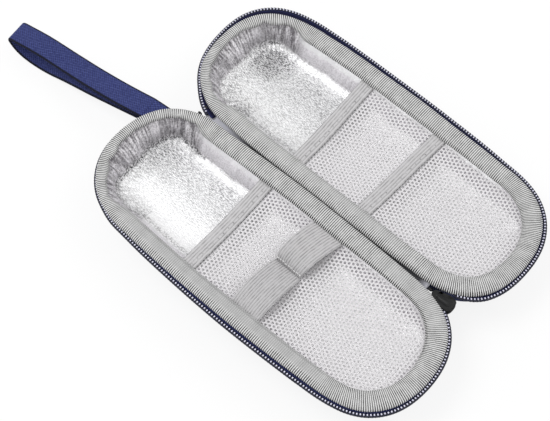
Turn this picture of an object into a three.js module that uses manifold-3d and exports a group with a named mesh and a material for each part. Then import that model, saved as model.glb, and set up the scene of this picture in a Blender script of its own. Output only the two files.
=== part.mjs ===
// Insulin cooling case, lying open: two zip-round half shells joined along one long side.
// Millimetres, +Z up. The origin is on the table under the middle of the base half.
// +X runs from the base half across the spine to the lid half, +Y to the strap end.
import * as THREE from 'three';
import { mergeVertices } from 'three/addons/utils/BufferGeometryUtils.js';
import Module from 'manifold-3d';

const wasm = await Module();
wasm.setup();

// Driving dimensions of each half
const rimLength = 200;
const rimWidth = 77;
const rimHeight = 27;
const openGap = 0.6;
const fitGap = 0.3;

// Rim binding: ribbed tape folded over the top of the wall
const bindingWidth = 10;
const bindingThickness = 1;
const bindingRound = 0.7;
const skirtDepth = 1.6;
const lipDepth = 2;

// Moulded shell
const shellThickness = 4;
const shellDraft = 3.2;
const shellCornerRadius = 10;

// Foil lined cavity
const cavityDepth = 15;
const creaseDepth = 12;
const cavityDraft = 4.8;
const floorRound = 5.5;
const linerThickness = 0.7;

// Zipper tape and coil
const tapeWidth = 1.8;
const tapeThickness = 0.6;
const coilWidth = 1.75;
const coilHeight = 1.5;
const coilEndHalfGap = 1.3;
const tapeEndHalfGap = 1.4;
const topStopLength = 2;
const topStopGrip = 0.15;
const bottomStopLength = 2.4;
const bottomStopWidth = 2.2;
const bottomStopGap = 0.8;

// Slider, parked in the notch at the -Y end of the spine
const sliderLength = 12.8;
const sliderNotchGap = 0.5;
const sliderHeadHalfWidth = 4.6;
const sliderPlateThickness = 0.85;
const sliderTopDrop = 0.2;
// Outline as shares of the slider's length and head half width, from the tail to the head
const sliderOutlineShares = [[0, 0.37], [0.19, 0.56], [0.42, 0.8], [0.64, 1], [0.85, 1], [1, 0.78]];
const sliderCoilClearance = 0.4;
const sliderPostLength = 5;
const sliderPostHalfWidth = 1.1;
const sliderPostOffset = 3;
const bailLength = 8.2;
const bailWidth = 2;
const bailBarThickness = 1.2;
const bailTunnelHeight = 2.2;
const pullPinRadius = 0.7;
const pullWindowLength = 5.1;
const pullLength = 18.5;
const pullWidth = 6;
const pullThickness = 1.4;
const pullArmWidth = 1.2;

// Spine fabric between the halves
const spineEndGap = 0.4;
const ribbonThickness = 0.6;
const ribbonDrop = 2.4;
const spineFabricThickness = 0.8;
const spineFabricTopDepth = 6;
const spineFabricDrop = 6.5;

// Mesh pockets and their elastic trims
const netThickness = 0.6;
const netEdgeDepth = 4.4;
const netSag = 2.5;
const netPitch = 8.4;
const netRowPitch = 4.6;
const netGapHalfWidth = 3.2;
const netGapHalfHeight = 3.5;
const netFirstRow = 5;
const netMargin = 1.2;
const netUnderTrim = 3;
const trimWidth = 8.2;
const trimThickness = 1.4;
const baseTrimY = 25;
const lidUpperTrimY = 24;
const lidLowerTrimY = -21;
const netSeamGap = 0.6;
const netEdgeGap = 1.1;

// Elastic band sewn down in the middle to leave two loops for pens
const bandWidth = 16.8;
const bandThickness = 1.2;
const bandCentreY = -13;
const bandSeamX = 2.4;
const bandArchHeight = 6;
const bandSeamHalfLength = 0.8;

// Wrist strap: one webbing loop sewn into the seam of the base half
const strapWidth = 12.5;
const strapThickness = 1.4;
const strapSideInset = 16;
const strapRootGap = 0.75;
const strapTurn = 6.5;
const strapSewnLength = 17;
const strapRun = 91;
const strapRootSpread = 3;

// Colours read from the photograph
const colours = {
  navyCloth: 0x2b3568,
  navyTape: 0x1f2550,
  greyTape: 0xc3c5c3,
  greyElastic: 0xb9bab9,
  whiteNet: 0xe1dee1,
  foil: 0xe4e4e8,
  foam: 0xdcdad2,
  blackMetal: 0x1b1b1d,
};

// Places that follow from the sizes above
const endRadius = rimWidth / 2;
const endCentreY = rimLength / 2 - endRadius;
const hingeX = rimWidth / 2 + openGap / 2;
const lidCentreX = 2 * hingeX;
const lipInset = bindingWidth - bindingThickness;
const shellInset = bindingThickness + fitGap;
const shellTopZ = rimHeight - bindingThickness - fitGap;
const linerTopZ = rimHeight - lipDepth - fitGap;
const cavityFloorZ = rimHeight - cavityDepth;
const tapeTopZ = rimHeight - skirtDepth - fitGap;
const tapeOuterInset = bindingThickness - tapeWidth;
const coilInnerInset = tapeOuterInset - fitGap / 2;
const coilOuterInset = coilInnerInset - coilWidth;
const coilZ = tapeTopZ - tapeThickness / 2;
const tapeEndY = notchY(tapeEndHalfGap, tapeOuterInset);
const coilEndY = notchY(coilEndHalfGap, coilOuterInset);
const sliderTailY = sliderNotchY();
const sliderCentreY = sliderTailY - sliderLength / 2;
const bottomStopY = sliderTailY + bottomStopGap + bottomStopLength / 2;
const spineFirstY = bottomStopY + bottomStopLength / 2 + spineEndGap;
const spineLastY = tapeEndY - spineEndGap;
const strapRootX = endRadius - strapSideInset;
const strapInnerX = strapRootX - strapWidth / 2;
const strapRootY = endCentreY + Math.sqrt((endRadius - coilOuterInset) ** 2 - strapInnerX ** 2) + strapRootGap;
const netRadius = endRadius - bindingWidth - netEdgeGap;
const netEndY = -(endCentreY + netRadius);
const netTopZ = rimHeight - netEdgeDepth + netThickness;

// How far along the case an end arc at this inset stands halfGap off the middle of the spine
function notchY(halfGap, inset) {
  const radius = endRadius - inset;
  return endCentreY + Math.sqrt(radius ** 2 - (hingeX - halfGap) ** 2);
}

// Where the slider's tail lies when its sides stand in the notch with their gap to both rims
function sliderNotchY() {
  const reaches = sliderOutlineShares.map(([along, across]) => {
    return notchY(across * sliderHeadHalfWidth, -sliderNotchGap) - along * sliderLength;
  });
  return -Math.max(...reaches);
}

const group = new THREE.Group();
const baseHalf = new THREE.Group();
const lidHalf = new THREE.Group();
lidHalf.position.x = lidCentreX;
group.add(baseHalf, lidHalf);

function addPiece(parent, name, geometry, colour, roughness, metalness) {
  const material = new THREE.MeshStandardMaterial({ color: colour, roughness, metalness });
  const mesh = new THREE.Mesh(geometry, material);
  mesh.name = name;
  parent.add(mesh);
  return mesh;
}

// One closed skin through rings of equal point counts. An open row of rings is capped at
// both ends, a closed one runs back to its first ring.
function skinRings(rings, closed) {
  const count = rings[0].length;
  const positions = rings.flat().flatMap((p) => [p.x, p.y, p.z]);
  const index = [];
  const last = closed ? rings.length : rings.length - 1;
  for (let r = 0; r < last; r += 1) {
    const a = r * count;
    const b = ((r + 1) % rings.length) * count;
    for (let i = 0; i < count; i += 1) {
      const j = (i + 1) % count;
      index.push(a + i, a + j, b + j, a + i, b + j, b + i);
    }
  }
  if (!closed) {
    capRing(rings[0], 0, true, index);
    capRing(rings[rings.length - 1], (rings.length - 1) * count, false, index);
  }
  const geometry = new THREE.BufferGeometry();
  geometry.setAttribute('position', new THREE.Float32BufferAttribute(positions, 3));
  geometry.setIndex(index);
  return faceOutward(geometry);
}

// Triangles across a flat ring, found in the plane that the ring lies in
function capRing(ring, offset, reversed, index) {
  const normal = new THREE.Vector3();
  ring.forEach((p, i) => {
    const q = ring[(i + 1) % ring.length];
    normal.add(new THREE.Vector3().crossVectors(p, q));
  });
  normal.normalize();
  const across = Math.abs(normal.z) > 0.5 ? new THREE.Vector3(1, 0, 0) : new THREE.Vector3(0, 0, 1);
  const side = new THREE.Vector3().crossVectors(normal, across).normalize();
  const up = new THREE.Vector3().crossVectors(side, normal);
  const flat = ring.map((p) => new THREE.Vector2(p.dot(up), p.dot(side)));
  THREE.ShapeUtils.triangulateShape(flat, []).forEach(([a, b, c]) => {
    index.push(offset + a, offset + (reversed ? c : b), offset + (reversed ? b : c));
  });
}

function signedVolume(geometry) {
  const p = geometry.getAttribute('position');
  const index = geometry.getIndex();
  const a = new THREE.Vector3();
  const b = new THREE.Vector3();
  const c = new THREE.Vector3();
  let volume = 0;
  for (let i = 0; i < index.count; i += 3) {
    a.fromBufferAttribute(p, index.getX(i));
    b.fromBufferAttribute(p, index.getX(i + 1));
    c.fromBufferAttribute(p, index.getX(i + 2));
    volume += a.dot(b.cross(c)) / 6;
  }
  return volume;
}

function faceOutward(geometry) {
  if (signedVolume(geometry) < 0) {
    geometry.getIndex().array.reverse();
  }
  return geometry;
}

function weld(geometry) {
  const plain = geometry.clone();
  plain.deleteAttribute('normal');
  plain.deleteAttribute('uv');
  return mergeVertices(plain);
}

function toSolid(geometry) {
  const welded = weld(geometry);
  const solid = new wasm.Mesh({
    numProp: 3,
    vertProperties: new Float32Array(welded.getAttribute('position').array),
    triVerts: new Uint32Array(welded.getIndex().array),
  });
  return new wasm.Manifold(solid);
}

function toGeometry(solid) {
  const mesh = solid.getMesh();
  const geometry = new THREE.BufferGeometry();
  geometry.setAttribute('position', new THREE.BufferAttribute(mesh.vertProperties, 3));
  geometry.setIndex(new THREE.BufferAttribute(mesh.triVerts, 1));
  return geometry;
}

function boxAt(width, length, height, x, y, z) {
  return new THREE.BoxGeometry(width, length, height).translate(x, y, z);
}

// Rim outline: two half circles joined by straight sides, drawn in from the rim by inset
const arcSteps = 18;
function rimRing(inset, z) {
  const radius = endRadius - inset;
  const ring = [];
  for (const end of [1, -1]) {
    for (let k = 0; k <= arcSteps; k += 1) {
      const angle = (end > 0 ? 0 : Math.PI) + (Math.PI * k) / arcSteps;
      const x = radius * Math.cos(angle);
      const y = end * endCentreY + radius * Math.sin(angle);
      ring.push(new THREE.Vector3(x, y, z));
    }
  }
  return ring;
}

// Half section of a tray: a leaning wall, then a rounded edge down to the floor.
// Each entry is [inset from the rim, height].
const edgeSteps = 3;
function trayProfile({ topInset, creaseInset, floorInset, topZ, creaseZ, floorZ }) {
  const profile = [[topInset, topZ]];
  for (let k = 0; k <= edgeSteps; k += 1) {
    const angle = ((Math.PI / 2) * k) / edgeSteps;
    const inset = floorInset - (floorInset - creaseInset) * Math.cos(angle);
    const z = creaseZ - (creaseZ - floorZ) * Math.sin(angle);
    profile.push([inset, z]);
  }
  return profile;
}

function trayGeometry(outer, inner) {
  const profile = [...outer].reverse().concat(inner);
  return skinRings(profile.map(([inset, z]) => rimRing(inset, z)), false);
}

function shellGeometry() {
  const outer = trayProfile({
    topInset: shellInset,
    creaseInset: shellInset + shellDraft,
    floorInset: shellInset + shellDraft + shellCornerRadius,
    topZ: shellTopZ,
    creaseZ: shellCornerRadius,
    floorZ: 0,
  });
  const inner = trayProfile({
    topInset: shellInset + shellThickness,
    creaseInset: shellInset + shellDraft + shellThickness,
    floorInset: shellInset + shellDraft + shellCornerRadius,
    topZ: shellTopZ,
    creaseZ: shellCornerRadius,
    floorZ: shellThickness,
  });
  return trayGeometry(outer, inner);
}

// The liner's inner face is grow = 0; larger values step outward through the foil and foam
function cavityProfile(grow) {
  const topInset = bindingWidth - fitGap;
  return trayProfile({
    topInset: topInset - grow,
    creaseInset: topInset + cavityDraft - grow,
    floorInset: topInset + cavityDraft + floorRound - grow,
    topZ: linerTopZ,
    creaseZ: rimHeight - creaseDepth - grow,
    floorZ: cavityFloorZ - grow,
  });
}

function linerGeometry() {
  return trayGeometry(cavityProfile(linerThickness), cavityProfile(0));
}

function insulationGeometry() {
  const outer = trayProfile({
    topInset: shellInset + shellThickness + fitGap,
    creaseInset: shellInset + shellDraft + shellThickness + fitGap,
    floorInset: shellInset + shellDraft + shellCornerRadius,
    topZ: shellTopZ,
    creaseZ: shellCornerRadius,
    floorZ: shellThickness + fitGap,
  });
  const inner = cavityProfile(linerThickness + fitGap);
  const lipClearInset = lipInset - fitGap;
  return trayGeometry(outer, [[lipClearInset, shellTopZ], ...inner]);
}

function bindingGeometry() {
  const section = [
    [0, rimHeight - skirtDepth],
    [0, rimHeight - bindingRound],
    [bindingRound, rimHeight],
    [bindingWidth - bindingRound, rimHeight],
    [bindingWidth, rimHeight - bindingRound],
    [bindingWidth, rimHeight - lipDepth],
    [lipInset, rimHeight - lipDepth],
    [lipInset, rimHeight - bindingThickness],
    [bindingThickness, rimHeight - bindingThickness],
    [bindingThickness, rimHeight - skirtDepth],
  ];
  return skinRings(section.map(([inset, z]) => rimRing(inset, z)), true);
}

// Angle on the end circle of a half, seen from its centre, where a path at this inset
// crosses the given y beyond the circle's centre
function endAngle(inset, y) {
  return Math.asin((Math.abs(y) - endCentreY) / (endRadius - inset));
}

// Path round the half from near the spine at the -Y end, along the outer side, to near the
// spine at the +Y end. side is -1 where the outer side is at -X and 1 where it is at +X.
const pathArcSteps = 18;
function zipPath(startY, endY, inset, side) {
  const points = [];
  const first = endAngle(inset, startY);
  const last = endAngle(inset, endY);
  for (let k = 0; k <= pathArcSteps; k += 1) {
    points.push({ end: -1, angle: first + ((Math.PI - first) * k) / pathArcSteps });
  }
  for (let k = 0; k <= pathArcSteps; k += 1) {
    points.push({ end: 1, angle: Math.PI - ((Math.PI - last) * k) / pathArcSteps });
  }
  return points.map(({ end, angle }) => (offset, z) => {
    const radius = endRadius - offset;
    const x = -side * radius * Math.cos(angle);
    const y = end * (endCentreY + radius * Math.sin(angle));
    return new THREE.Vector3(x, y, z);
  });
}

function zipStripGeometry(startY, endY, side, innerInset, outerInset, lowZ, highZ) {
  const middle = (innerInset + outerInset) / 2;
  const rings = zipPath(startY, endY, middle, side).map((at) => [
    at(innerInset, lowZ),
    at(outerInset, lowZ),
    at(outerInset, highZ),
    at(innerInset, highZ),
  ]);
  return skinRings(rings, false);
}

function tapeGeometry(side) {
  const lowZ = tapeTopZ - tapeThickness;
  return zipStripGeometry(-tapeEndY, tapeEndY, side, bindingThickness, tapeOuterInset, lowZ, tapeTopZ);
}

// The base coil starts inside the slider, the lid coil beside it so that the lid lifts clear
function coilGeometry(side) {
  const besideSliderY = -notchY(sliderHeadHalfWidth + fitGap, coilOuterInset);
  const startY = side < 0 ? sliderCentreY : besideSliderY;
  const lowZ = coilZ - coilHeight / 2;
  const highZ = coilZ + coilHeight / 2;
  return zipStripGeometry(startY, coilEndY, side, coilInnerInset, coilOuterInset, lowZ, highZ);
}

// Clip on the last teeth of a coil, a little larger than the coil all round
const topStopSteps = 2;
function topStopGeometry(side) {
  const middle = (coilInnerInset + coilOuterInset) / 2;
  const radius = endRadius - middle;
  const first = endAngle(middle, coilEndY) - fitGap / radius;
  const rings = [];
  for (let k = 0; k <= topStopSteps; k += 1) {
    const angle = first - ((topStopLength / radius) * k) / topStopSteps;
    const corners = [
      [coilInnerInset, -1],
      [coilOuterInset - topStopGrip, -1],
      [coilOuterInset - topStopGrip, 1],
      [coilInnerInset, 1],
    ];
    rings.push(corners.map(([inset, level]) => {
      const x = -side * (endRadius - inset) * Math.cos(angle);
      const y = endCentreY + (endRadius - inset) * Math.sin(angle);
      return new THREE.Vector3(x, y, coilZ + level * (coilHeight / 2 + topStopGrip));
    }));
  }
  return skinRings(rings, false);
}

// Net region of a pocket: from its trim down to a straight lower seam, or round the -Y end
const netArcSteps = 20;
function netOutline(topY, lowY) {
  const points = [new THREE.Vector2(netRadius, topY), new THREE.Vector2(-netRadius, topY)];
  if (lowY > netEndY) {
    points.push(new THREE.Vector2(-netRadius, lowY), new THREE.Vector2(netRadius, lowY));
    return points;
  }
  for (let k = 0; k <= netArcSteps; k += 1) {
    const angle = Math.PI + (Math.PI * k) / netArcSteps;
    points.push(new THREE.Vector2(netRadius * Math.cos(angle), netRadius * Math.sin(angle) - endCentreY));
  }
  return points;
}

// Half width of the pocket at a place along it, less a margin
function netHalfWidth(y, margin) {
  const past = Math.max(-endCentreY - y, 0);
  return Math.sqrt(Math.max((netRadius - margin) ** 2 - past ** 2, 0));
}

function insideNet(x, y, topY, lowY) {
  return Math.abs(x) < netHalfWidth(y, netMargin) && y < topY - netMargin && y > lowY + netMargin;
}

// How far the pocket hangs below its sewn edge at a place on it
function netDrop(x, y, topY, lowY) {
  const halfWidth = netHalfWidth(y, 0);
  const across = halfWidth > 0 ? Math.max(1 - (x / halfWidth) ** 2, 0) : 0;
  const along = Math.min(Math.max((topY - y) / (topY - lowY), 0), 1);
  return netSag * across * 4 * along * (1 - along);
}

function netGeometry(topY, lowY) {
  const shape = new THREE.Shape(netOutline(topY, lowY));
  const gap = [[netGapHalfWidth, 0], [0, netGapHalfHeight], [-netGapHalfWidth, 0], [0, -netGapHalfHeight]];
  const rows = Math.floor((topY - lowY) / netRowPitch);
  const columns = Math.ceil(endRadius / netPitch);
  for (let row = 0; row < rows; row += 1) {
    const y = topY - netFirstRow - netRowPitch * row;
    const shift = row % 2 === 0 ? 0 : netPitch / 2;
    for (let column = -columns; column <= columns; column += 1) {
      const corners = gap.map(([dx, dy]) => new THREE.Vector2(column * netPitch + shift + dx, y + dy));
      if (corners.every((p) => insideNet(p.x, p.y, topY, lowY))) {
        shape.holes.push(new THREE.Path(corners));
      }
    }
  }
  const flat = new THREE.ExtrudeGeometry(shape, { depth: netThickness, bevelEnabled: false });
  const geometry = weld(flat);
  const p = geometry.getAttribute('position');
  for (let i = 0; i < p.count; i += 1) {
    const drop = netDrop(p.getX(i), p.getY(i), topY, lowY);
    p.setZ(i, p.getZ(i) + rimHeight - netEdgeDepth - drop);
  }
  return faceOutward(geometry);
}

// Elastic edge of a pocket, a flat band drawn taut across the half
function trimGeometry(centreY) {
  const centreZ = netTopZ + fitGap + trimThickness / 2;
  return boxAt(2 * netRadius, trimWidth, trimThickness, 0, centreY, centreZ);
}

// Flat band that follows a path in one plane. Each point is [along, height].
function bandGeometry(path, thickness, width) {
  const outline = [];
  for (const sign of [1, -1]) {
    const part = path.map(([u, z], i) => {
      const [u0, z0] = path[Math.max(i - 1, 0)];
      const [u1, z1] = path[Math.min(i + 1, path.length - 1)];
      const length = Math.hypot(u1 - u0, z1 - z0);
      const reach = (sign * thickness) / 2;
      return new THREE.Vector2(u - (reach * (z1 - z0)) / length, z + (reach * (u1 - u0)) / length);
    });
    outline.push(...(sign > 0 ? part : part.reverse()));
  }
  const shape = new THREE.Shape(outline);
  const geometry = new THREE.ExtrudeGeometry(shape, { depth: width, bevelEnabled: false });
  return geometry.translate(0, 0, -width / 2);
}

// The two loops rise from the net's sides and meet at the seam between them
const archSteps = 12;
function penLoopBand() {
  const topY = baseTrimY - trimWidth / 2 + netUnderTrim;
  const rest = netTopZ + fitGap + bandThickness / 2;
  const groundAt = (x) => rest - netDrop(x, bandCentreY, topY, netEndY);
  const path = [];
  const spans = [
    [-netRadius + bandThickness, bandSeamX - bandSeamHalfLength],
    [bandSeamX + bandSeamHalfLength, netRadius - bandThickness],
  ];
  for (const [from, to] of spans) {
    for (let k = 0; k <= archSteps; k += 1) {
      const share = k / archSteps;
      const x = from + (to - from) * share;
      const chord = groundAt(from) * (1 - share) + groundAt(to) * share;
      path.push([x, chord + bandArchHeight * Math.sin(Math.PI * share) ** 0.8]);
    }
  }
  const band = bandGeometry(path, bandThickness, bandWidth);
  return band.rotateX(Math.PI / 2).translate(0, bandCentreY, 0);
}

// Strap path as shares of its run and of the rim's height, from the lower layer's root
// round the folded end and back to the upper layer's root
const strapLowerShares = [[0.18, 0.66], [0.34, 0.49], [0.5, 0.3], [0.66, 0.14], [0.8, 0.055], [0.9, 0.032]];
const strapFoldShares = [[0.972, 0.14], [1, 0.31], [0.968, 0.475]];
const strapUpperShares = [[0.89, 0.545], [0.77, 0.51], [0.64, 0.48], [0.5, 0.56], [0.34, 0.715], [0.18, 0.82]];
const strapTopZ = rimHeight - skirtDepth - 2 * fitGap - tapeThickness - coilHeight / 2;
const strapUpperRootZ = strapTopZ - strapThickness / 2;
const strapLowerRootZ = strapUpperRootZ - strapRootSpread;
const strapSamples = 56;

function wristStrap() {
  const shares = [...strapLowerShares, ...strapFoldShares, ...strapUpperShares];
  const guide = [new THREE.Vector3(0, strapLowerRootZ, 0)];
  shares.forEach(([along, height]) => {
    guide.push(new THREE.Vector3(along * strapRun, height * rimHeight, 0));
  });
  guide.push(new THREE.Vector3(0, strapUpperRootZ, 0));
  const curve = new THREE.CatmullRomCurve3(guide, false, 'centripetal');
  const path = curve.getSpacedPoints(strapSamples).map((p) => [p.x, p.y]);
  return placeOnStrapLine(bandGeometry(path, strapThickness, strapWidth));
}

// Turns a shape drawn as [along, height, across] onto the strap's line
function placeOnStrapLine(geometry) {
  return geometry
    .rotateX(Math.PI / 2)
    .rotateZ(Math.PI / 2 + THREE.MathUtils.degToRad(strapTurn))
    .translate(strapRootX, strapRootY, 0);
}

// Both strap ends sewn together, cut to the curve of the shell that they are sewn to
const cutterSegments = 96;
function strapSewnEnd() {
  const height = strapRootSpread + strapThickness;
  const block = new THREE.BoxGeometry(strapSewnLength, height, strapWidth);
  block.translate(-strapSewnLength / 2 - fitGap, strapTopZ - height / 2, 0);
  const placed = placeOnStrapLine(block);
  const radius = endRadius - shellInset + fitGap;
  const cutter = new THREE.CylinderGeometry(radius, radius, rimHeight, cutterSegments);
  cutter.rotateX(Math.PI / 2).translate(0, endCentreY, rimHeight / 2);
  return toGeometry(toSolid(placed).subtract(toSolid(cutter)));
}

const channelTopZ = coilZ + coilHeight / 2 + sliderCoilClearance;
const channelLowZ = coilZ - coilHeight / 2 - sliderCoilClearance;
const sliderPlateTopZ = rimHeight - sliderTopDrop;
const sliderPlateLowZ = channelLowZ - sliderPlateThickness;

function sliderBody() {
  const tailY = sliderCentreY + sliderLength / 2;
  const right = sliderOutlineShares.map(([along, across]) => {
    return new THREE.Vector2(across * sliderHeadHalfWidth, tailY - along * sliderLength);
  });
  const left = [...right].reverse().map((p) => new THREE.Vector2(-p.x, p.y));
  const plate = (lowZ, highZ) => {
    const shape = new THREE.Shape([...right, ...left]);
    const solid = new THREE.ExtrudeGeometry(shape, { depth: highZ - lowZ, bevelEnabled: false });
    return toSolid(solid.translate(0, 0, lowZ));
  };
  const postY = sliderCentreY - sliderPostOffset;
  const postShape = new THREE.Shape([
    new THREE.Vector2(sliderPostHalfWidth, postY),
    new THREE.Vector2(0, postY + sliderPostLength / 2),
    new THREE.Vector2(-sliderPostHalfWidth, postY),
    new THREE.Vector2(0, postY - sliderPostLength / 2),
  ]);
  const postHeight = sliderPlateTopZ - sliderPlateLowZ;
  const post = new THREE.ExtrudeGeometry(postShape, { depth: postHeight, bevelEnabled: false });
  const bailHeight = bailTunnelHeight + bailBarThickness;
  const bail = boxAt(bailWidth, bailLength, bailHeight, 0, sliderCentreY, sliderPlateLowZ - bailHeight / 2);
  const tunnelLength = bailLength - 2 * bailBarThickness;
  const tunnelZ = sliderPlateLowZ - bailTunnelHeight / 2;
  const tunnel = boxAt(2 * bailWidth, tunnelLength, bailTunnelHeight, 0, sliderCentreY, tunnelZ);
  const solid = plate(channelTopZ, sliderPlateTopZ)
    .add(plate(sliderPlateLowZ, channelLowZ))
    .add(toSolid(post.translate(0, 0, sliderPlateLowZ)))
    .add(toSolid(bail).subtract(toSolid(tunnel)));
  return toGeometry(solid);
}

// Pull hanging from the slider: a pin through the bail, two arms and a flat grip
const pullPinZ = sliderPlateLowZ - bailTunnelHeight + fitGap + pullPinRadius;
const pinSegments = 16;
const gripRoundSteps = 8;
function pullTab() {
  const armX = pullWidth / 2 - pullArmWidth / 2;
  const pin = new THREE.CylinderGeometry(pullPinRadius, pullPinRadius, pullWidth - pullArmWidth, pinSegments);
  pin.rotateZ(Math.PI / 2).translate(0, sliderCentreY, pullPinZ);
  const outline = [];
  const half = pullWidth / 2;
  for (let k = 0; k <= gripRoundSteps; k += 1) {
    const angle = Math.PI + (Math.PI * k) / gripRoundSteps;
    outline.push(new THREE.Vector2(half * Math.cos(angle), half * Math.sin(angle) - pullLength + half));
  }
  outline.push(new THREE.Vector2(half, -pullWindowLength), new THREE.Vector2(-half, -pullWindowLength));
  const gripShape = new THREE.Shape(outline);
  const grip = new THREE.ExtrudeGeometry(gripShape, { depth: pullThickness, bevelEnabled: false });
  grip.translate(0, 0, -pullThickness / 2).rotateX(Math.PI / 2).translate(0, sliderCentreY, pullPinZ);
  const armLength = pullWindowLength + pullPinRadius + pullThickness;
  const armZ = pullPinZ + pullPinRadius - armLength / 2;
  let solid = toSolid(pin).add(toSolid(grip));
  for (const side of [-1, 1]) {
    const arm = boxAt(pullArmWidth, pullThickness, armLength, side * armX, sliderCentreY, armZ);
    solid = solid.add(toSolid(arm));
  }
  return toGeometry(solid);
}

// Half an ellipse of fabric hanging between the two halves, run along the spine
const spineSteps = 8;
function spineStrip(topZ, halfSpan, drop, thickness) {
  const outline = [];
  for (const [a, b, backward] of [[halfSpan, drop, false], [halfSpan - thickness, drop - thickness, true]]) {
    for (let k = 0; k <= spineSteps; k += 1) {
      const share = backward ? 1 - k / spineSteps : k / spineSteps;
      const angle = Math.PI * (1 + share);
      outline.push(new THREE.Vector2(a * Math.cos(angle), b * Math.sin(angle)));
    }
  }
  const shape = new THREE.Shape(outline);
  const depth = spineLastY - spineFirstY;
  const geometry = new THREE.ExtrudeGeometry(shape, { depth, bevelEnabled: false });
  return geometry.rotateX(Math.PI / 2).translate(hingeX, spineLastY, topZ);
}

function spineFabric() {
  const topZ = rimHeight - spineFabricTopDepth;
  const wallRun = shellTopZ - shellCornerRadius;
  const lean = (shellDraft * (shellTopZ - topZ)) / wallRun;
  const halfSpan = openGap / 2 + shellInset + lean - fitGap;
  return spineStrip(topZ, halfSpan, spineFabricDrop, spineFabricThickness);
}

function spineRibbon() {
  const halfSpan = openGap / 2 + shellInset - fitGap;
  return spineStrip(tapeTopZ, halfSpan, ribbonDrop, ribbonThickness);
}

function buildHalf(parent, prefix, side) {
  addPiece(parent, `${prefix}_shell`, shellGeometry(), colours.navyCloth, 0.9, 0);
  addPiece(parent, `${prefix}_insulation_foam`, insulationGeometry(), colours.foam, 0.95, 0);
  addPiece(parent, `${prefix}_foil_liner`, linerGeometry(), colours.foil, 0.35, 0.8);
  addPiece(parent, `${prefix}_rim_binding`, bindingGeometry(), colours.greyTape, 0.9, 0);
  addPiece(parent, `${prefix}_zipper_tape`, tapeGeometry(side), colours.navyTape, 0.9, 0);
  addPiece(parent, `${prefix}_zipper_coil`, coilGeometry(side), colours.navyTape, 0.5, 0);
  addPiece(parent, `${prefix}_zipper_top_stop`, topStopGeometry(side), colours.blackMetal, 0.4, 0.8);
}

function buildPocket(parent, netName, trimName, trimY, lowY) {
  const topY = trimY - trimWidth / 2 + netUnderTrim;
  addPiece(parent, netName, netGeometry(topY, lowY), colours.whiteNet, 0.8, 0);
  addPiece(parent, trimName, trimGeometry(trimY), colours.greyElastic, 0.85, 0);
}

buildHalf(baseHalf, 'base', -1);
buildHalf(lidHalf, 'lid', 1);

buildPocket(baseHalf, 'base_mesh_pocket', 'base_pocket_trim', baseTrimY, netEndY);
const upperNetBottomY = lidLowerTrimY - trimWidth / 2 + netUnderTrim + netSeamGap;
buildPocket(lidHalf, 'lid_upper_mesh_pocket', 'lid_upper_pocket_trim', lidUpperTrimY, upperNetBottomY);
buildPocket(lidHalf, 'lid_lower_mesh_pocket', 'lid_lower_pocket_trim', lidLowerTrimY, netEndY);
addPiece(baseHalf, 'pen_loop_band', penLoopBand(), colours.greyElastic, 0.85, 0);

addPiece(group, 'spine_outer_fabric', spineFabric(), colours.navyCloth, 0.9, 0);
addPiece(group, 'spine_inner_ribbon', spineRibbon(), colours.greyTape, 0.9, 0);

const sliderParts = new THREE.Group();
sliderParts.position.x = hingeX;
addPiece(sliderParts, 'zipper_slider', sliderBody(), colours.blackMetal, 0.6, 0.5);
addPiece(sliderParts, 'zipper_pull_tab', pullTab(), colours.blackMetal, 0.6, 0.5);
const bottomStop = boxAt(bottomStopWidth, bottomStopLength, coilHeight, 0, bottomStopY, coilZ);
addPiece(sliderParts, 'zipper_bottom_stop', bottomStop, colours.blackMetal, 0.4, 0.8);
group.add(sliderParts);

addPiece(group, 'wrist_strap', wristStrap(), colours.navyCloth, 0.9, 0);
addPiece(group, 'strap_sewn_end', strapSewnEnd(), colours.navyCloth, 0.9, 0);

export default group;
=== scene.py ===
import math

import bmesh
import bpy
import numpy as np
from mathutils import Matrix, Vector


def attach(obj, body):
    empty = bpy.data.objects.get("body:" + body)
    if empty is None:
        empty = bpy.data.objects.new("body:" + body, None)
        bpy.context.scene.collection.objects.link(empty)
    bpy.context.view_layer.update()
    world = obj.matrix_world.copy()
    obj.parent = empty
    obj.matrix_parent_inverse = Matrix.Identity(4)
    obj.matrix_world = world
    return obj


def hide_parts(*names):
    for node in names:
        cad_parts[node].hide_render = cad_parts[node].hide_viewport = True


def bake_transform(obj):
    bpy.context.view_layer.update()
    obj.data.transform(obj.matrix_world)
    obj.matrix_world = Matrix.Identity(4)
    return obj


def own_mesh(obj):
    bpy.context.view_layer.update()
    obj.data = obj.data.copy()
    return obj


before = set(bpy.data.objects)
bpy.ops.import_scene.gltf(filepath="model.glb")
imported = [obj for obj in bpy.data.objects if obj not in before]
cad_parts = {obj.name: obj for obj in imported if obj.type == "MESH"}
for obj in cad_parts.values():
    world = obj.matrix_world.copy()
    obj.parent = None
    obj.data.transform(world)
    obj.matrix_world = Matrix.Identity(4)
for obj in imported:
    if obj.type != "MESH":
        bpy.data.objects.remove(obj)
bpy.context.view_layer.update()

MM = 0.001

# Sizes of each half, as in the solids
RIM_Z = 27.0
RIM_RADIUS = 38.5
END_Y = 61.5
SPINE_X = 38.8
LID_X = 2 * SPINE_X
HALVES = {"base": 0.0, "lid": LID_X}

# Camera: where it looks, its direction from there, and its lens
CAMERA_TARGET = (19.86, 11.3, RIM_Z)
CAMERA_AZIMUTH = -48.34
CAMERA_ELEVATION = 63.85
CAMERA_DISTANCE = 690.0
CAMERA_LENS = 91.85

# Light: strength of the white surroundings, of the floor's own glow and of the two lamps
WORLD_LIGHT = 0.66
FLOOR_GLOW = 0.85
LAMPS = {
    "key_light": ((-0.35, 0.55, 1.3), 0.7, 9.6),
    "fill_light": ((0.9, -0.5, 1.1), 0.8, 4.0),
}
LAMP_TARGET = (0.04, 0.02, 0.0)

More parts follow.
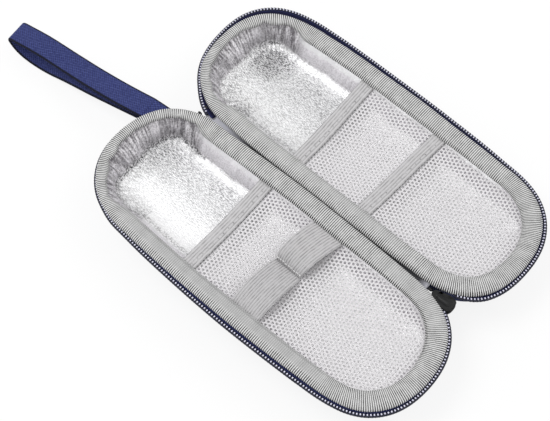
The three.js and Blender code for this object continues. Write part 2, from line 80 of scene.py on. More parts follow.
# Colours, as they look in plain light (sRGB)
GREY_BINDING = (0.925, 0.925, 0.923)
GREY_FLAT_DARKER = (0.71, 0.71, 0.71)
GREY_BINDING_WORN = (0.85, 0.85, 0.848)
GROOVE_SHADE_GREY = (0.13, 0.13, 0.135)
GREY_ELASTIC = (0.80, 0.795, 0.80)
GREY_ELASTIC_SHADE = (0.50, 0.495, 0.50)
NET_WHITE = (0.985, 0.972, 0.98)
FOIL_LIGHT = (0.97, 0.97, 0.975)
FLOOR_FOIL = (0.92, 0.92, 0.923)
FLOOR_SHADED = (0.76, 0.76, 0.765)
FOIL_DARK = (0.20, 0.19, 0.205)
WALL_LIGHT = (0.97, 0.96, 0.975)
WALL_DARK = (0.30, 0.285, 0.305)
CREASE_SHADE = (0.14, 0.13, 0.15)
NAVY_WEBBING = (0.19, 0.225, 0.455)
NAVY_WEBBING_DARK = (0.075, 0.085, 0.23)
NAVY_WEBBING_PALE = (0.36, 0.40, 0.62)
NAVY_TAPE = (0.06, 0.07, 0.20)
NAVY_TAPE_DARK = (0.02, 0.025, 0.08)
NAVY_TAPE_RIB = (0.22, 0.25, 0.46)
COIL_PALE = (0.93, 0.93, 0.98)
NAVY_CLOTH = (0.15, 0.185, 0.385)
NAVY_CLOTH_DARK = (0.09, 0.11, 0.25)
SLIDER_BLACK = (0.022, 0.022, 0.026)
STOP_BLACK = (0.06, 0.06, 0.08)
RIBBON_GREY = (0.74, 0.74, 0.75)
FOAM_PALE = (0.86, 0.85, 0.82)
THREAD_PALE = (0.97, 0.97, 0.965)
FLOOR_WHITE = (0.97, 0.97, 0.97)
NET_SHADE = (0.80, 0.80, 0.81)
COIL_SHADE = (0.80, 0.80, 0.90)
CORD_FLECK = (0.07, 0.08, 0.18)
THREAD_SHADE = (0.78, 0.78, 0.78)
FOAM_SHADE = (0.78, 0.77, 0.74)
NAVY_CLOTH_CLOUD = (0.13, 0.165, 0.35)
RIBBON_BLUE_GREY = (0.74, 0.74, 0.79)
RIBBON_SHADE = (0.10, 0.10, 0.11)
PLAIN_WHITE = (1.0, 1.0, 1.0)


def linear(colour):
    """An sRGB colour as the linear one that materials take."""
    return tuple(c / 12.92 if c <= 0.04045 else ((c + 0.055) / 1.055) ** 2.4 for c in colour) + (1.0,)


# Camera

def make_camera():
    azimuth = math.radians(CAMERA_AZIMUTH)
    elevation = math.radians(CAMERA_ELEVATION)
    back = Vector((
        math.sin(azimuth) * math.cos(elevation),
        -math.cos(azimuth) * math.cos(elevation),
        math.sin(elevation),
    ))
    right = Vector((math.cos(azimuth), math.sin(azimuth), 0.0))
    up = back.cross(right)
    data = bpy.data.cameras.new("camera")
    data.lens = CAMERA_LENS
    data.sensor_width = 36.0
    data.sensor_fit = "HORIZONTAL"
    data.clip_start = 0.01
    data.clip_end = 20.0
    camera = bpy.data.objects.new("camera", data)
    rotation = Matrix((right, up, back)).transposed().to_4x4()
    place = (Vector(CAMERA_TARGET) + back * CAMERA_DISTANCE) * MM
    camera.matrix_world = Matrix.Translation(place) @ rotation
    bpy.context.scene.collection.objects.link(camera)
    bpy.context.scene.camera = camera


make_camera()


# Node materials

class Nodes:
    """Adds nodes to a material and links them, one call per node."""

    def __init__(self, name, colour, roughness, metallic=0.0):
        self.material = bpy.data.materials.new(name)
        self.material.use_nodes = True
        self.tree = self.material.node_tree
        self.shader = self.tree.nodes["Principled BSDF"]
        self.shader.inputs["Base Color"].default_value = linear(colour)
        self.shader.inputs["Roughness"].default_value = roughness
        self.shader.inputs["Metallic"].default_value = metallic

    def add(self, kind, **inputs):
        node = self.tree.nodes.new(kind)
        for key, value in inputs.items():
            self.put(node, key, value)
        return node

    def put(self, node, key, value):
        if isinstance(value, bpy.types.NodeSocket):
            self.tree.links.new(value, node.inputs[key])
        else:
            node.inputs[key].default_value = value

    def math(self, operation, a, b=0.0, c=0.0):
        node = self.tree.nodes.new("ShaderNodeMath")
        node.operation = operation
        for index, value in enumerate((a, b, c)):
            self.put(node, index, value)
        return node.outputs[0]

    def times(self, *factors):
        """The product of all factors."""
        product = factors[0]
        for factor in factors[1:]:
            product = self.math("MULTIPLY", product, factor)
        return product

    def away(self, value, middle):
        """How far a value is from middle, either way."""
        return self.math("ABSOLUTE", self.math("SUBTRACT", value, middle))

    def uv(self):
        """The two surface coordinates of a piece, in millimetres."""
        node = self.tree.nodes.new("ShaderNodeTexCoord")
        split = self.add("ShaderNodeSeparateXYZ", Vector=node.outputs["UV"])
        u = self.math("MULTIPLY", split.outputs[0], UV_SPAN)
        v = self.math("MULTIPLY", split.outputs[1], UV_SPAN)
        return u, v

    def place(self, scale=(1.0, 1.0, 1.0)):
        """Object coordinates in millimetres, stretched by scale."""
        node = self.tree.nodes.new("ShaderNodeTexCoord")
        mapping = self.tree.nodes.new("ShaderNodeMapping")
        mapping.inputs["Scale"].default_value = [s / MM for s in scale]
        self.tree.links.new(node.outputs["Object"], mapping.inputs["Vector"])
        return mapping.outputs[0]

    def noise(self, vector, scale, detail=3.0, roughness=0.5):
        node = self.add("ShaderNodeTexNoise", Vector=vector, Scale=scale, Detail=detail, Roughness=roughness)
        return node.outputs["Fac"]

    def wave(self, coordinate, pitch, phase=0.0):
        """0 to 1 and back, once each pitch of the coordinate."""
        turned = self.math("MULTIPLY_ADD", coordinate, 2 * math.pi / pitch, phase)
        return self.math("MULTIPLY_ADD", self.math("SINE", turned), 0.5, 0.5)

    def span(self, value, low, high, to_low=0.0, to_high=1.0):
        node = self.tree.nodes.new("ShaderNodeMapRange")
        for key, item in (("Value", value), ("From Min", low), ("From Max", high),
                          ("To Min", to_low), ("To Max", to_high)):
            self.put(node, key, item)
        return node.outputs[0]

    def within(self, value, first, last, ramp):
        """1 between first and last, with a ramp from 0 inside either end."""
        rise = self.span(value, first, first + ramp)
        return self.times(rise, self.span(value, last - ramp, last, 1.0, 0.0))

    def mix(self, share, first, second):
        node = self.tree.nodes.new("ShaderNodeMix")
        node.data_type = "RGBA"
        self.put(node, 0, share)
        for key, value in ((6, first), (7, second)):
            self.put(node, key, value if isinstance(value, bpy.types.NodeSocket) else linear(value))
        return node.outputs[2]

    def colour(self, socket):
        self.tree.links.new(socket, self.shader.inputs["Base Color"])

    def roughness(self, socket):
        self.tree.links.new(socket, self.shader.inputs["Roughness"])

    def bump(self, height, distance, strength=1.0, after=None):
        """Bump by a height of 0 to 1 that stands for distance in millimetres."""
        node = self.add("ShaderNodeBump", Height=height, Strength=strength)
        node.inputs["Distance"].default_value = distance * MM
        if after is not None:
            self.tree.links.new(after, node.inputs["Normal"])
        self.tree.links.new(node.outputs[0], self.shader.inputs["Normal"])
        return node.outputs[0]

    def join(self, share, other):
        """Adds a share of another shader to what the surface shows."""
        mixer = self.add("ShaderNodeMixShader", Fac=share)
        self.tree.links.new(self.shader.outputs[0], mixer.inputs[1])
        self.tree.links.new(other.outputs[0], mixer.inputs[2])
        self.tree.links.new(mixer.outputs[0], self.tree.nodes["Material Output"].inputs["Surface"])

    def dull(self, specular=0.2):
        self.shader.inputs["Specular IOR Level"].default_value = specular

    def sheen(self, weight, roughness=0.5):
        self.shader.inputs["Sheen Weight"].default_value = weight
        self.shader.inputs["Sheen Roughness"].default_value = roughness


UV_SPAN = 500.0
CREASE_V = 12.3
FOIL_METAL = 0.65
BINDING_RIB_PITCH = 1.08
SEWN_ROW_V = -1.3
SEWN_ROW_PITCH = 3.7
SEWN_EDGE_V = -3.7
TAPE_CORD_V = 2.55
STRAP_WIDTH = 13.2
TRIM_WIDTH = 8.2
TRIM_RIDGES = 5.5
PEN_BAND_WIDTH = 16.6
PEN_RIDGES = 13
NET_GLOW_THROUGH = 0.17
STRETCH_RAMP_U = 20.0


def stretch(n, u, v, first_u, last_u, first_v, last_v, ramp_v):
    """1 within a stretch of a surface, falling off to 0 inside its edges."""
    return n.times(n.within(u, first_u, last_u, STRETCH_RAMP_U), n.within(v, first_v, last_v, ramp_v))


def ribbed_binding(name, smooth, ticks):
    """Grosgrain: ribs across the ribbon, thin threads along it, with painted shade in the grooves between the
    ribs, deeper towards both edges. Both lists hold stretches, each as its first and last u and v and a
    share: where the ribs lie flat and the grey is darker, and where the grooves get darker still, from needle
    pricks at the inner edges and from painted shade on the lid's skirt."""
    n = Nodes(name, GREY_BINDING, 0.85)
    u, v = n.uv()
    place = n.place()
    ribs = n.wave(u, BINDING_RIB_PITCH, math.pi / 2)
    edges = n.span(n.away(v, 7.0), 2.0, 4.5, 0.85, 1.0)
    calm = 0.0
    for *corners, share in smooth:
        calm = n.math("MAXIMUM", calm, n.times(stretch(n, u, v, *corners, 1.6), share))
    uneven = n.span(n.noise(place, 0.22), 0.3, 0.7, 0.85, 1.2)
    depth = n.times(edges, uneven, n.math("MULTIPLY_ADD", calm, -0.7, 1.0))
    # painted shade in the grooves between the ribs, deeper towards both edges
    groove_shade = n.times(n.math("POWER", n.math("SUBTRACT", 1.0, ribs), 1.3), depth)
    # ticks darken the grooves more: needle pricks on some stretches, painted shade on the lid's skirt
    for *corners, share in ticks:
        dark_tick = n.times(stretch(n, u, v, *corners, 0.4), n.span(ribs, 0.45, 0.75, share, 0.0))
        groove_shade = n.math("MAXIMUM", groove_shade, dark_tick)
    # a stitch line along the seam where the ribs lie flat
    seam = n.times(calm, n.span(n.away(v, 9.6), 0.15, 0.5, 0.5, 0.0), ribs)
    groove_shade = n.math("MAXIMUM", groove_shade, seam)
    worn = n.mix(n.noise(place, 0.8, 4.0), GREY_BINDING, GREY_BINDING_WORN)
    # darker grey where the ribs lie flat
    flat_darker = n.mix(n.times(calm, 0.9), worn, GREY_FLAT_DARKER)
    n.colour(n.mix(groove_shade, flat_darker, GROOVE_SHADE_GREY))
    relief = n.bump(n.math("SUBTRACT", 1.0, groove_shade), 0.2)
    n.bump(n.wave(v, 0.42), 0.04, 0.5, relief)
    n.dull()
    return n.material


def ribbed_elastic(name, ridge_pitch, phase, least, most, sewn=False):
    """Woven elastic: ridges along the band, fine picks across it, with painted shade in the grooves between
    them.
    least and most are how dark the painted shade in its grooves gets. Sewn bands have a row of needle holes
    and a dark turned edge, both darkened with painted shade."""
    n = Nodes(name, GREY_ELASTIC, 0.85)
    u, v = n.uv()
    place = n.place()
    wander = n.math("MULTIPLY_ADD", n.noise(n.place((0.4, 1.0, 1.0)), 0.5, 2.0), 0.5, v)
    ridges = n.wave(wander, ridge_pitch, phase)
    strength = n.span(n.noise(place, 0.35), 0.35, 0.65, least, most)
    # painted shade in the grooves between the ridges
    groove_shade = n.times(n.math("POWER", n.math("SUBTRACT", 1.0, ridges), 1.5), strength)
    cloud = n.mix(n.noise(place, 0.5), GREY_ELASTIC, tuple(0.94 * c for c in GREY_ELASTIC))
    shade = n.mix(groove_shade, cloud, GREY_ELASTIC_SHADE)
    picks = n.wave(u, 0.7)
    shade = n.mix(n.times(picks, 0.12), shade, GREY_ELASTIC_SHADE)
    if sewn:
        across = n.math("SUBTRACT", v, SEWN_ROW_V)
        along = n.math("SUBTRACT", n.math("MODULO", u, SEWN_ROW_PITCH), SEWN_ROW_PITCH / 2)
        reach = n.math("SQRT", n.math("ADD", n.math("POWER", across, 2.0), n.math("POWER", along, 2.0)))
        worn = n.span(n.noise(place, 0.3, 2.0), 0.4, 0.6, 0.3, 1.0)
        hole = n.times(n.span(reach, 0.2, 0.55, 0.6, 0.0), worn)
        dashed = n.span(n.wave(u, 2.1), 0.3, 0.6, 0.3, 1.0)
        turned_edge = n.times(n.span(v, SEWN_EDGE_V - 0.35, SEWN_EDGE_V, 0.85, 0.0), dashed)
        # painted shade in the needle holes and along the turned edge
        shade = n.mix(n.math("MAXIMUM", hole, turned_edge), shade, GROOVE_SHADE_GREY)
    n.colour(shade)
    relief = n.bump(n.math("SUBTRACT", 1.0, groove_shade), 0.1)
    n.bump(picks, 0.05, 0.6, relief)
    n.dull()
    return n.material


def net_cloth():
    """Thin white net: part of the light that falls on it comes out below."""
    n = Nodes("net_cloth", NET_WHITE, 0.7)
    place = n.place()
    tone = n.mix(n.noise(place, 1.4), NET_WHITE, NET_SHADE)
    n.colour(tone)
    n.bump(n.noise(place, 6.0, 2.0), 0.08)
    n.dull()
    n.join(NET_GLOW_THROUGH, n.add("ShaderNodeBsdfTranslucent", Color=tone))
    return n.material


def crinkled_foil(name, patch, patch_share, left_flecks, right_flecks, far_crease, highlight_share):
    """Foil film on a woven backing: pleated walls, painted shade in the crease and a bright dashed floor.
    patch is the middle of a painted soft shadow, the flecks are the floor's share of dark dashes at its -X
    and +X sides."""
    n = Nodes(name, FOIL_LIGHT, 0.4, FOIL_METAL)
    u, v = n.uv()
    place = n.place()
    end_length = math.pi * RIM_RADIUS

    # Parts of the lining, by how far round the rim they are
    turn = n.times(u, 1 / RIM_RADIUS)
    on_end = n.math("LESS_THAN", u, end_length)
    far = n.times(on_end, n.span(turn, 0.8, 1.25))
    nook = n.times(on_end, n.span(turn, 0.12, 0.4), n.span(turn, 0.8, 1.25, 1.0, 0.0))
    # far end and nook: where painted shade falls on the walls
    far_and_nook = n.math("MAXIMUM", far, nook)
    corner = n.times(on_end, n.span(turn, 0.12, 0.4, 1.0, 0.0))
    side = n.math("MAXIMUM", corner, n.math("GREATER_THAN", u, 2 * (end_length + END_Y)))

    # Floor: dashes and specks of the foil, their share growing towards +X partly as painted shade and more of
    # them near the far crease, a painted soft shadow, painted shade towards +X, a painted highlight beside
    # the crease and painted light under the pocket
    dashes = n.noise(n.place((1.0, 0.3, 1.0)), 2.3, 2.0, 0.6)
    specks = n.noise(place, 3.0, 2.0, 0.6)
    cloud = n.noise(place, 0.09)
    reach = n.add("ShaderNodeVectorMath", Vector=place)
    reach.operation = "DISTANCE"
    reach.inputs[1].default_value = patch
    split = n.add("ShaderNodeSeparateXYZ", Vector=place)
    across = n.math("SUBTRACT", split.outputs[0], LID_X if name.endswith("lid") else 0.0)
    # the dashes' share grows from -X to +X, partly as painted shade
    share = n.span(across, -14.0, 14.0, left_flecks, right_flecks)
    fleck = n.math("MAXIMUM", n.span(dashes, 0.48, 0.56), n.times(n.span(specks, 0.5, 0.58), 0.6))
    amount = n.times(n.span(cloud, 0.35, 0.65, 0.75, 1.0), share)
    near_crease = n.times(n.span(v, CREASE_V, CREASE_V + 12.0, 0.55, 0.0), far)
    # painted highlight in a band just past the crease, on the +X side and round the far end
    band = n.span(n.away(v, CREASE_V + 2.3), 0.8, 2.6, 1.0, 0.0)
    far_highlight = n.times(far_and_nook, n.span(turn, 2.3, 2.8, 1.0, 0.0), 1.0 - far_crease)
    ragged_band = n.times(band, n.span(specks, 0.35, 0.6, 1.0, 0.45))
    crease_highlight = n.times(ragged_band, n.math("MAXIMUM", n.times(side, 0.75), far_highlight))
    shadow = n.times(n.span(reach.outputs["Value"], 3.0, 13.0, 1.0, 0.0), patch_share)
    tone = n.math("ADD", amount, n.math("ADD", near_crease, shadow))
    floor_dark = n.times(fleck, tone, n.math("MULTIPLY_ADD", crease_highlight, -0.6, 1.0))
    floor_dark = n.math("MULTIPLY_ADD", shadow, 0.3, floor_dark)
    # painted shade: the floor greys towards +X
    dull = n.mix(n.span(across, -12.0, 16.0), FLOOR_FOIL, FLOOR_SHADED)
    # painted light under the pocket, towards -Y: fewer dark flecks and a whiter floor
    under_net_light = n.span(split.outputs[1], 17.0, 24.0, 1.0, 0.0)
    floor_dark = n.times(floor_dark, n.math("MULTIPLY_ADD", under_net_light, -0.9, 1.0))
    lit = n.mix(n.math("MAXIMUM", crease_highlight, under_net_light), dull, n.mix(under_net_light, FLOOR_FOIL, PLAIN_WHITE))
    floor_colour = n.mix(n.math("MINIMUM", floor_dark, 0.9), lit, FOIL_DARK)

    # Walls: fine streaks of painted pleat shade down them, painted shade under the binding round the far end
    # and in the nook, random blots, a painted highlight stripe along the sides
    streak_place = n.add("ShaderNodeCombineXYZ", X=u, Y=n.times(v, 0.14))
    streaks = n.noise(streak_place.outputs[0], 0.5, 3.0, 0.75)
    blots = n.noise(place, 1.1, 3.0, 0.7)
    ragged = n.math("MULTIPLY_ADD", streaks, -4.0, n.math("ADD", v, 2.0))
    shade = n.times(far_and_nook, n.span(ragged, 0.6, 4.6, 0.28, 0.0))
    low_shade = n.times(nook, n.span(v, 4.0, 7.0, 0.12, 0.2))
    # painted shade in the pleats, stronger at the far end and in the nook
    pleat_shade = n.times(n.span(streaks, 0.44, 0.56), n.math("MULTIPLY_ADD", far_and_nook, 0.42, 0.04))
    grain = n.times(n.span(blots, 0.44, 0.58), n.math("MULTIPLY_ADD", far_and_nook, 0.16, 0.22))
    wall_dark = n.math("ADD", n.math("ADD", shade, n.math("ADD", pleat_shade, low_shade)), grain)
    plain = n.mix(n.math("MINIMUM", wall_dark, 0.9), WALL_LIGHT, WALL_DARK)
    # painted highlight along the top of the side walls
    highlight_stripe = n.span(n.away(v, 2.0), 1.4, 2.4, highlight_share, 0.0)
    wall_colour = n.mix(n.times(highlight_stripe, side), plain, FOIL_LIGHT)

    # Crease between them: a ragged line of painted shade round the far end, painted shade of wrinkles beside
    # it on the near side
    wander = n.noise(n.place((1.0, 1.0, 0.3)), 0.9, 3.0, 0.7)
    offset = n.away(v, n.math("MULTIPLY_ADD", wander, 3.0, CREASE_V - 0.6))
    line = n.times(n.span(offset, 0.35, 1.3, 1.0, 0.0), n.span(blots, 0.45, 0.53, 0.15, 1.0))
    first_part = n.times(n.span(u, 16.0, 28.0), n.span(u, 36.0, 50.0, 1.0, 0.0))
    last_part = n.times(n.span(u, 84.0, 102.0, 1.0, 0.3), far_crease)
    # painted shade in the crease
    crease = n.times(line, on_end, n.math("MAXIMUM", first_part, last_part), 0.95)
    near_side = n.within(u, end_length - 15.0, end_length + 45.0, 15.0)
    low_wrinkle = n.span(n.away(v, CREASE_V + 2.5), 0.6, 2.0, 0.5, 0.0)
    # painted shade of wrinkles beside the crease
    wrinkle_shade = n.times(near_side, low_wrinkle, n.span(blots, 0.46, 0.56))
    crease = n.math("MAXIMUM", crease, wrinkle_shade)
    depth = n.math("MULTIPLY_ADD", blots, 5.0, n.math("ADD", v, -2.5))
    wall = n.span(depth, CREASE_V - 1.2, CREASE_V + 1.2, 1.0, 0.0)
    surface = n.mix(wall, floor_colour, wall_colour)
    n.colour(n.mix(crease, surface, CREASE_SHADE))
    n.roughness(n.span(specks, 0.3, 0.7, 0.32, 0.5))
    relief = n.bump(dashes, 0.35, 0.6)
    n.bump(streaks, 0.5, n.times(wall, 0.7), relief)
    return n.material


def webbing():
    """Flat woven strap: picks in slanting rows, pale flecks and dark bound edges."""
    n = Nodes("navy_webbing", NAVY_WEBBING, 0.75)
    u, v = n.uv()
    place = n.place()
    across = n.wave(n.math("ADD", v, u), 1.5)
    along = n.wave(n.math("SUBTRACT", u, v), 1.5)
    edge = n.span(n.math("ABSOLUTE", v), STRAP_WIDTH / 2 - 1.1, STRAP_WIDTH / 2 - 0.7)
    base = n.mix(n.noise(place, 0.12, 3.0), NAVY_WEBBING, NAVY_CLOTH)
    picked = n.mix(n.times(across, 0.75), base, NAVY_WEBBING_DARK)
    fleck = n.times(along, n.span(n.noise(place, 0.9, 2.0), 0.4, 0.6, 0.2, 0.5))
    flecked = n.mix(fleck, picked, NAVY_WEBBING_PALE)
    n.colour(n.mix(n.times(edge, 0.95), flecked, NAVY_TAPE_DARK))
    relief = n.bump(across, 0.18)
    n.bump(along, 0.06, 0.6, relief)
    n.dull()
    return n.material


def zip_tape():
    """Zip tape: a fine twill with one paler cord along it."""
    n = Nodes("navy_zip_tape", NAVY_TAPE, 0.8)
    u, v = n.uv()
    picks = n.wave(n.math("ADD", u, v), 0.55)
    twill = n.mix(n.times(picks, 0.5), NAVY_TAPE, NAVY_TAPE_DARK)
    cord = n.span(n.away(v, TAPE_CORD_V), 0.15, 0.35, 0.45, 0.0)
    n.colour(n.mix(cord, twill, NAVY_TAPE_RIB))
    n.bump(picks, 0.12)
    n.dull()
    return n.material


def shell_cloth():
    """Smooth moulded cloth with a fine plain weave."""
    n = Nodes("navy_shell_cloth", NAVY_CLOTH, 0.78)
    u, v = n.uv()
    weave = n.times(n.wave(u, 0.62), n.wave(v, 0.62))
    cloud = n.mix(n.noise(n.place(), 0.08, 4.0), NAVY_CLOTH, NAVY_CLOTH_CLOUD)
    n.colour(n.mix(n.times(weave, 0.5), cloud, NAVY_CLOTH_DARK))
    n.bump(weave, 0.14)
    n.dull()
    n.sheen(0.08)
    return n.material


def dark_enamel(name, colour):
    """Baked black paint, rubbed in places."""
    n = Nodes(name, colour, 0.5)
    grain = n.noise(n.place(), 1.2, 4.0)
    n.colour(n.mix(n.span(grain, 0.35, 0.65), colour, tuple(0.7 * c for c in colour)))
    n.roughness(n.span(grain, 0.3, 0.7, 0.38, 0.56))
    n.bump(grain, 0.03)
    n.dull(0.28)
    return n.material


def spine_ribbon():
    """Plain ribbon, with painted shade where it lies deep between the rims."""
    n = Nodes("spine_ribbon_weave", RIBBON_GREY, 0.85)
    place = n.place()
    y = n.add("ShaderNodeSeparateXYZ", Vector=place).outputs[1]
    # painted shade where the ribbon lies deep between the rims
    deep = n.times(n.span(y, -69.0, -64.0), n.span(y, 46.0, 62.0, 1.0, 0.0))
    ribbon_tone = n.mix(n.noise(place, 1.1, 4.0), RIBBON_GREY, RIBBON_BLUE_GREY)
    n.colour(n.mix(n.times(deep, 0.85), ribbon_tone, RIBBON_SHADE))
    n.bump(n.noise(place, 2.0), 0.06)
    n.dull()
    return n.material


def speckled(name, light, dark, roughness, scale, height):
    """Plain moulded stuff or thread with a fine grain."""
    n = Nodes(name, light, roughness)
    grain = n.noise(n.place(), scale, 4.0)
    n.colour(n.mix(n.span(grain, 0.35, 0.65), light, dark))
    n.roughness(n.span(grain, 0.3, 0.7, roughness - 0.06, roughness + 0.08))
    n.bump(grain, height)
    return n.material


# Ticks: the lid's first stretch is painted shade on its skirt, the others are needle pricks at the inner
# edges.
binding_looks = {
    "base": ribbed_binding("grosgrain_binding_base",
                           [(107.0, 257.0, 4.5, 14.0, 1.0), (325.0, 392.0, 0.3, 9.3, 0.6)],
                           [(300.0, 480.0, 9.6, 12.3, 1.0)]),
    "lid": ribbed_binding("grosgrain_binding_lid",
                          [(110.0, 240.0, 5.5, 14.0, 0.6)],
                          [(190.0, 300.0, 0.2, 3.3, 0.95), (365.0, 500.0, 9.3, 12.0, 0.85)]),
}
trim_look = ribbed_elastic("ribbed_trim_elastic", TRIM_WIDTH / TRIM_RIDGES, 0.0, 0.35, 0.8, True)
band_look = ribbed_elastic("ribbed_band_elastic", PEN_BAND_WIDTH / PEN_RIDGES, -math.pi / 2, 0.45, 0.9)
net_look = net_cloth()
foil_looks = {
    "base": crinkled_foil("crinkled_foil_base", (12.0, 74.5, 12.0), 0.12, 0.14, 0.62, 0.9, 0.55),
    "lid": crinkled_foil("crinkled_foil_lid", (LID_X + 13.0, 74.5, 12.0), 0.5, 0.45, 0.6, 0.2, 1.0),
}
webbing_look = webbing()
tape_look = zip_tape()
shell_look = shell_cloth()
coil_look = speckled("coil_nylon", NAVY_TAPE, NAVY_TAPE_DARK, 0.5, 2.0, 0.03)
dot_look = speckled("coil_stitch_thread", COIL_PALE, COIL_SHADE, 0.5, 2.5, 0.03)
slider_look = dark_enamel("black_slider_enamel", SLIDER_BLACK)
stop_look = dark_enamel("black_stop_enamel", STOP_BLACK)
foam_look = speckled("foam_tray", FOAM_PALE, FOAM_SHADE, 0.9, 1.5, 0.2)
cord_look = speckled("coil_cord_yarn", NAVY_TAPE_DARK, CORD_FLECK, 0.7, 1.5, 0.05)
ribbon_look = spine_ribbon()
thread_look = speckled("pale_thread", THREAD_PALE, THREAD_SHADE, 0.8, 3.0, 0.03)


# Meshes

def add_object(name, points, faces, look, uvs=None, smooth=True):
    """A mesh object from points in millimetres. uvs holds one pair in millimetres per face corner."""
    mesh = bpy.data.meshes.new(name)
    mesh.from_pydata([tuple(p * MM) for p in np.asarray(points, float)], [], faces)
    if uvs is not None:
        layer = mesh.uv_layers.new(name="UVMap")
        layer.data.foreach_set("uv", (np.asarray(uvs, float) / UV_SPAN).ravel())
    mesh.materials.append(look)
    mesh.polygons.foreach_set("use_smooth", [smooth] * len(mesh.polygons))
    mesh.update()
    piece = bpy.data.objects.new(name, mesh)
    bpy.context.scene.collection.objects.link(piece)
    return piece


def outward(piece):
    """Faces of a closed piece turned to look outward."""
    mesh = bmesh.new()
    mesh.from_mesh(piece.data)
    bmesh.ops.recalc_face_normals(mesh, faces=mesh.faces)
    mesh.to_mesh(piece.data)
    mesh.free()
    return piece


def seat(piece, body, slot, *nodes):
    """Lets a piece ride on its body and stand for its nodes."""
    if nodes:
        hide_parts(*nodes)
    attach(piece, body)
    return piece


def distances(points):
    """How far along a line of points each of them lies."""
    gaps = np.linalg.norm(np.diff(points, axis=0), axis=1)
    return np.concatenate(([0.0], np.cumsum(gaps)))


def grid(name, rows, look, lengths, closed_rows=False, closed_points=False, caps=False, levels=None,
         flip=False):
    """A skin over rows of points. u runs along each row by lengths, v from row to row by levels or by
    distance. flip turns its faces over."""
    rows = np.asarray(rows, float)
    count, width = rows.shape[:2]
    points = rows.reshape(-1, 3)
    if levels is None:
        steps = np.linalg.norm(np.diff(rows, axis=0), axis=2).mean(axis=1)
        levels = np.concatenate(([0.0], np.cumsum(steps)))
    if closed_rows:
        levels = np.append(levels, levels[-1] + np.linalg.norm(rows[0] - rows[-1], axis=1).mean())
    faces, uvs = [], []
    turn = -1 if flip else 1
    for r in range(count if closed_rows else count - 1):
        after = (r + 1) % count
        for i in range(width if closed_points else width - 1):
            j = (i + 1) % width
            faces.append((r * width + i, r * width + j, after * width + j, after * width + i)[::turn])
            uvs += [(lengths[i], levels[r]), (lengths[i + 1], levels[r]),
                    (lengths[i + 1], levels[r + 1]), (lengths[i], levels[r + 1])][::turn]
    if caps:
        for end in (0, width - 1):
            faces.append(tuple(r * width + end for r in range(count)))
            uvs += [(0.0, 0.0)] * count
    return add_object(name, points, faces, look, uvs)


def swept(name, rows, lengths, across, look):
    """A closed piece over sections of points. u runs from section to section, v round each of them."""
    count, width = rows.shape[:2]
    faces, uvs = [], []
    for r in range(count - 1):
        for i in range(width):
            j = (i + 1) % width
            faces.append((r * width + i, r * width + j, (r + 1) * width + j, (r + 1) * width + i))
            uvs += [(lengths[r], across[i]), (lengths[r], across[j]),
                    (lengths[r + 1], across[j]), (lengths[r + 1], across[i])]
    for end in (list(range(width))[::-1], list(range((count - 1) * width, count * width))):
        faces.append(tuple(end))
        uvs += [(0.0, 0.0)] * width
    return outward(add_object(name, rows.reshape(-1, 3), faces, look, uvs))


def smooth_share(value, low, high):
    """0 at low, 1 at high, with a smooth rise between them."""
    share = np.clip((value - low) / (high - low), 0, 1)
    return share * share * (3 - 2 * share)


# Rim outline: a stadium, sewn by hand. Each table lists how far round the rim a place is, from the spine
# side of the +Y arc by way of -X, and how far the rim, or the zip beyond it, stands out there

RIM_LENGTH = 2 * math.pi * RIM_RADIUS + 4 * END_Y
RIM_DRIFT = {
    "base": [
        (2, -1.4), (8, -0.6), (16, 0.3), (24, 1.2), (32, 1.65), (40, 1.4), (48, 0.8), (60, 0.2),
        (81, 0.4), (97, -0.2), (105, -1.0), (113, -1.5), (121, -1.2), (132, -0.5), (147, 0.0),
        (165, 0.35), (192, 0.4), (207, 0.0), (222, -0.6), (237, -1.4), (246, -2.25), (253, -2.1),
        (260, -1.1), (268, 0.5), (276, 1.15), (284, 1.3), (292, 1.0), (304, 0.55), (317, 1.25),
        (325, 2.0), (333, 2.15), (341, 1.6), (349, 0.85), (357, -0.7), (362, -0.8), (370, -0.3),
        (394, 0.25), (426, 0.6), (442, 0.4), (458, -0.1), (474, -0.7),
    ],
    "lid": [
        (0, -1.45), (8, -1.85), (16, -0.95), (24, 0.7), (32, 1.75), (40, 2.1), (48, 1.4), (56, 0.4),
        (65, 0.1), (73, 0.8), (81, 1.2), (89, 1.1), (97, 0.1), (105, 0.3), (113, -0.6), (118, -1.4),
        (126, -0.8), (134, -0.3), (150, -0.2), (182, -0.65), (214, -0.4), (230, -0.5), (238, -0.9),
        (246, -1.4), (252, -0.6), (260, 0.3), (268, 1.2), (276, 1.9), (284, 1.1), (292, 0.1),
        (300, -0.9), (308, -1.1), (317, -0.7), (325, -0.2), (337, 0.1), (349, -0.6), (357, -1.35),
        (365, -1.35), (371, -1.0), (386, -0.35), (401, -0.1), (416, 0.6), (431, 0.7), (446, 0.35),
        (461, 0.3), (476, -0.4),
    ],
}
ZIP_DRIFT = {
    "base": [
        (0, -0.3), (40, -0.7), (60, -0.7), (80, -0.4), (97, -0.3), (105, -0.2), (113, -0.75),
        (121, -0.85), (132, -0.4), (147, -0.1), (162, 0.1), (177, 0.35), (222, 0.4), (244, 0.5),
        (260, 0.3), (272, 0.0), (284, 0.1), (292, -0.25), (304, -0.55), (317, -0.6), (329, -0.9),
        (349, -0.9),
    ],
    "lid": [
        (0, 1.7), (8, 2.05), (20, 2.4), (32, 1.9), (40, 1.35), (48, 0.8), (56, 0.15), (65, -0.15),
        (73, -0.75), (81, -1.05), (89, -1.2), (97, -0.3), (105, 1.05), (113, 1.6), (125, 1.7),
        (246, -1.6), (264, -1.6), (274, 0.1), (284, 0.1), (300, -0.3), (317, -0.15), (341, -0.3),
        (365, 0.0), (375, 0.3), (390, 0.65), (403, 0.7), (416, 0.4), (431, 0.4), (446, 0.75),
        (461, 0.8), (476, 1.35),
    ],
}


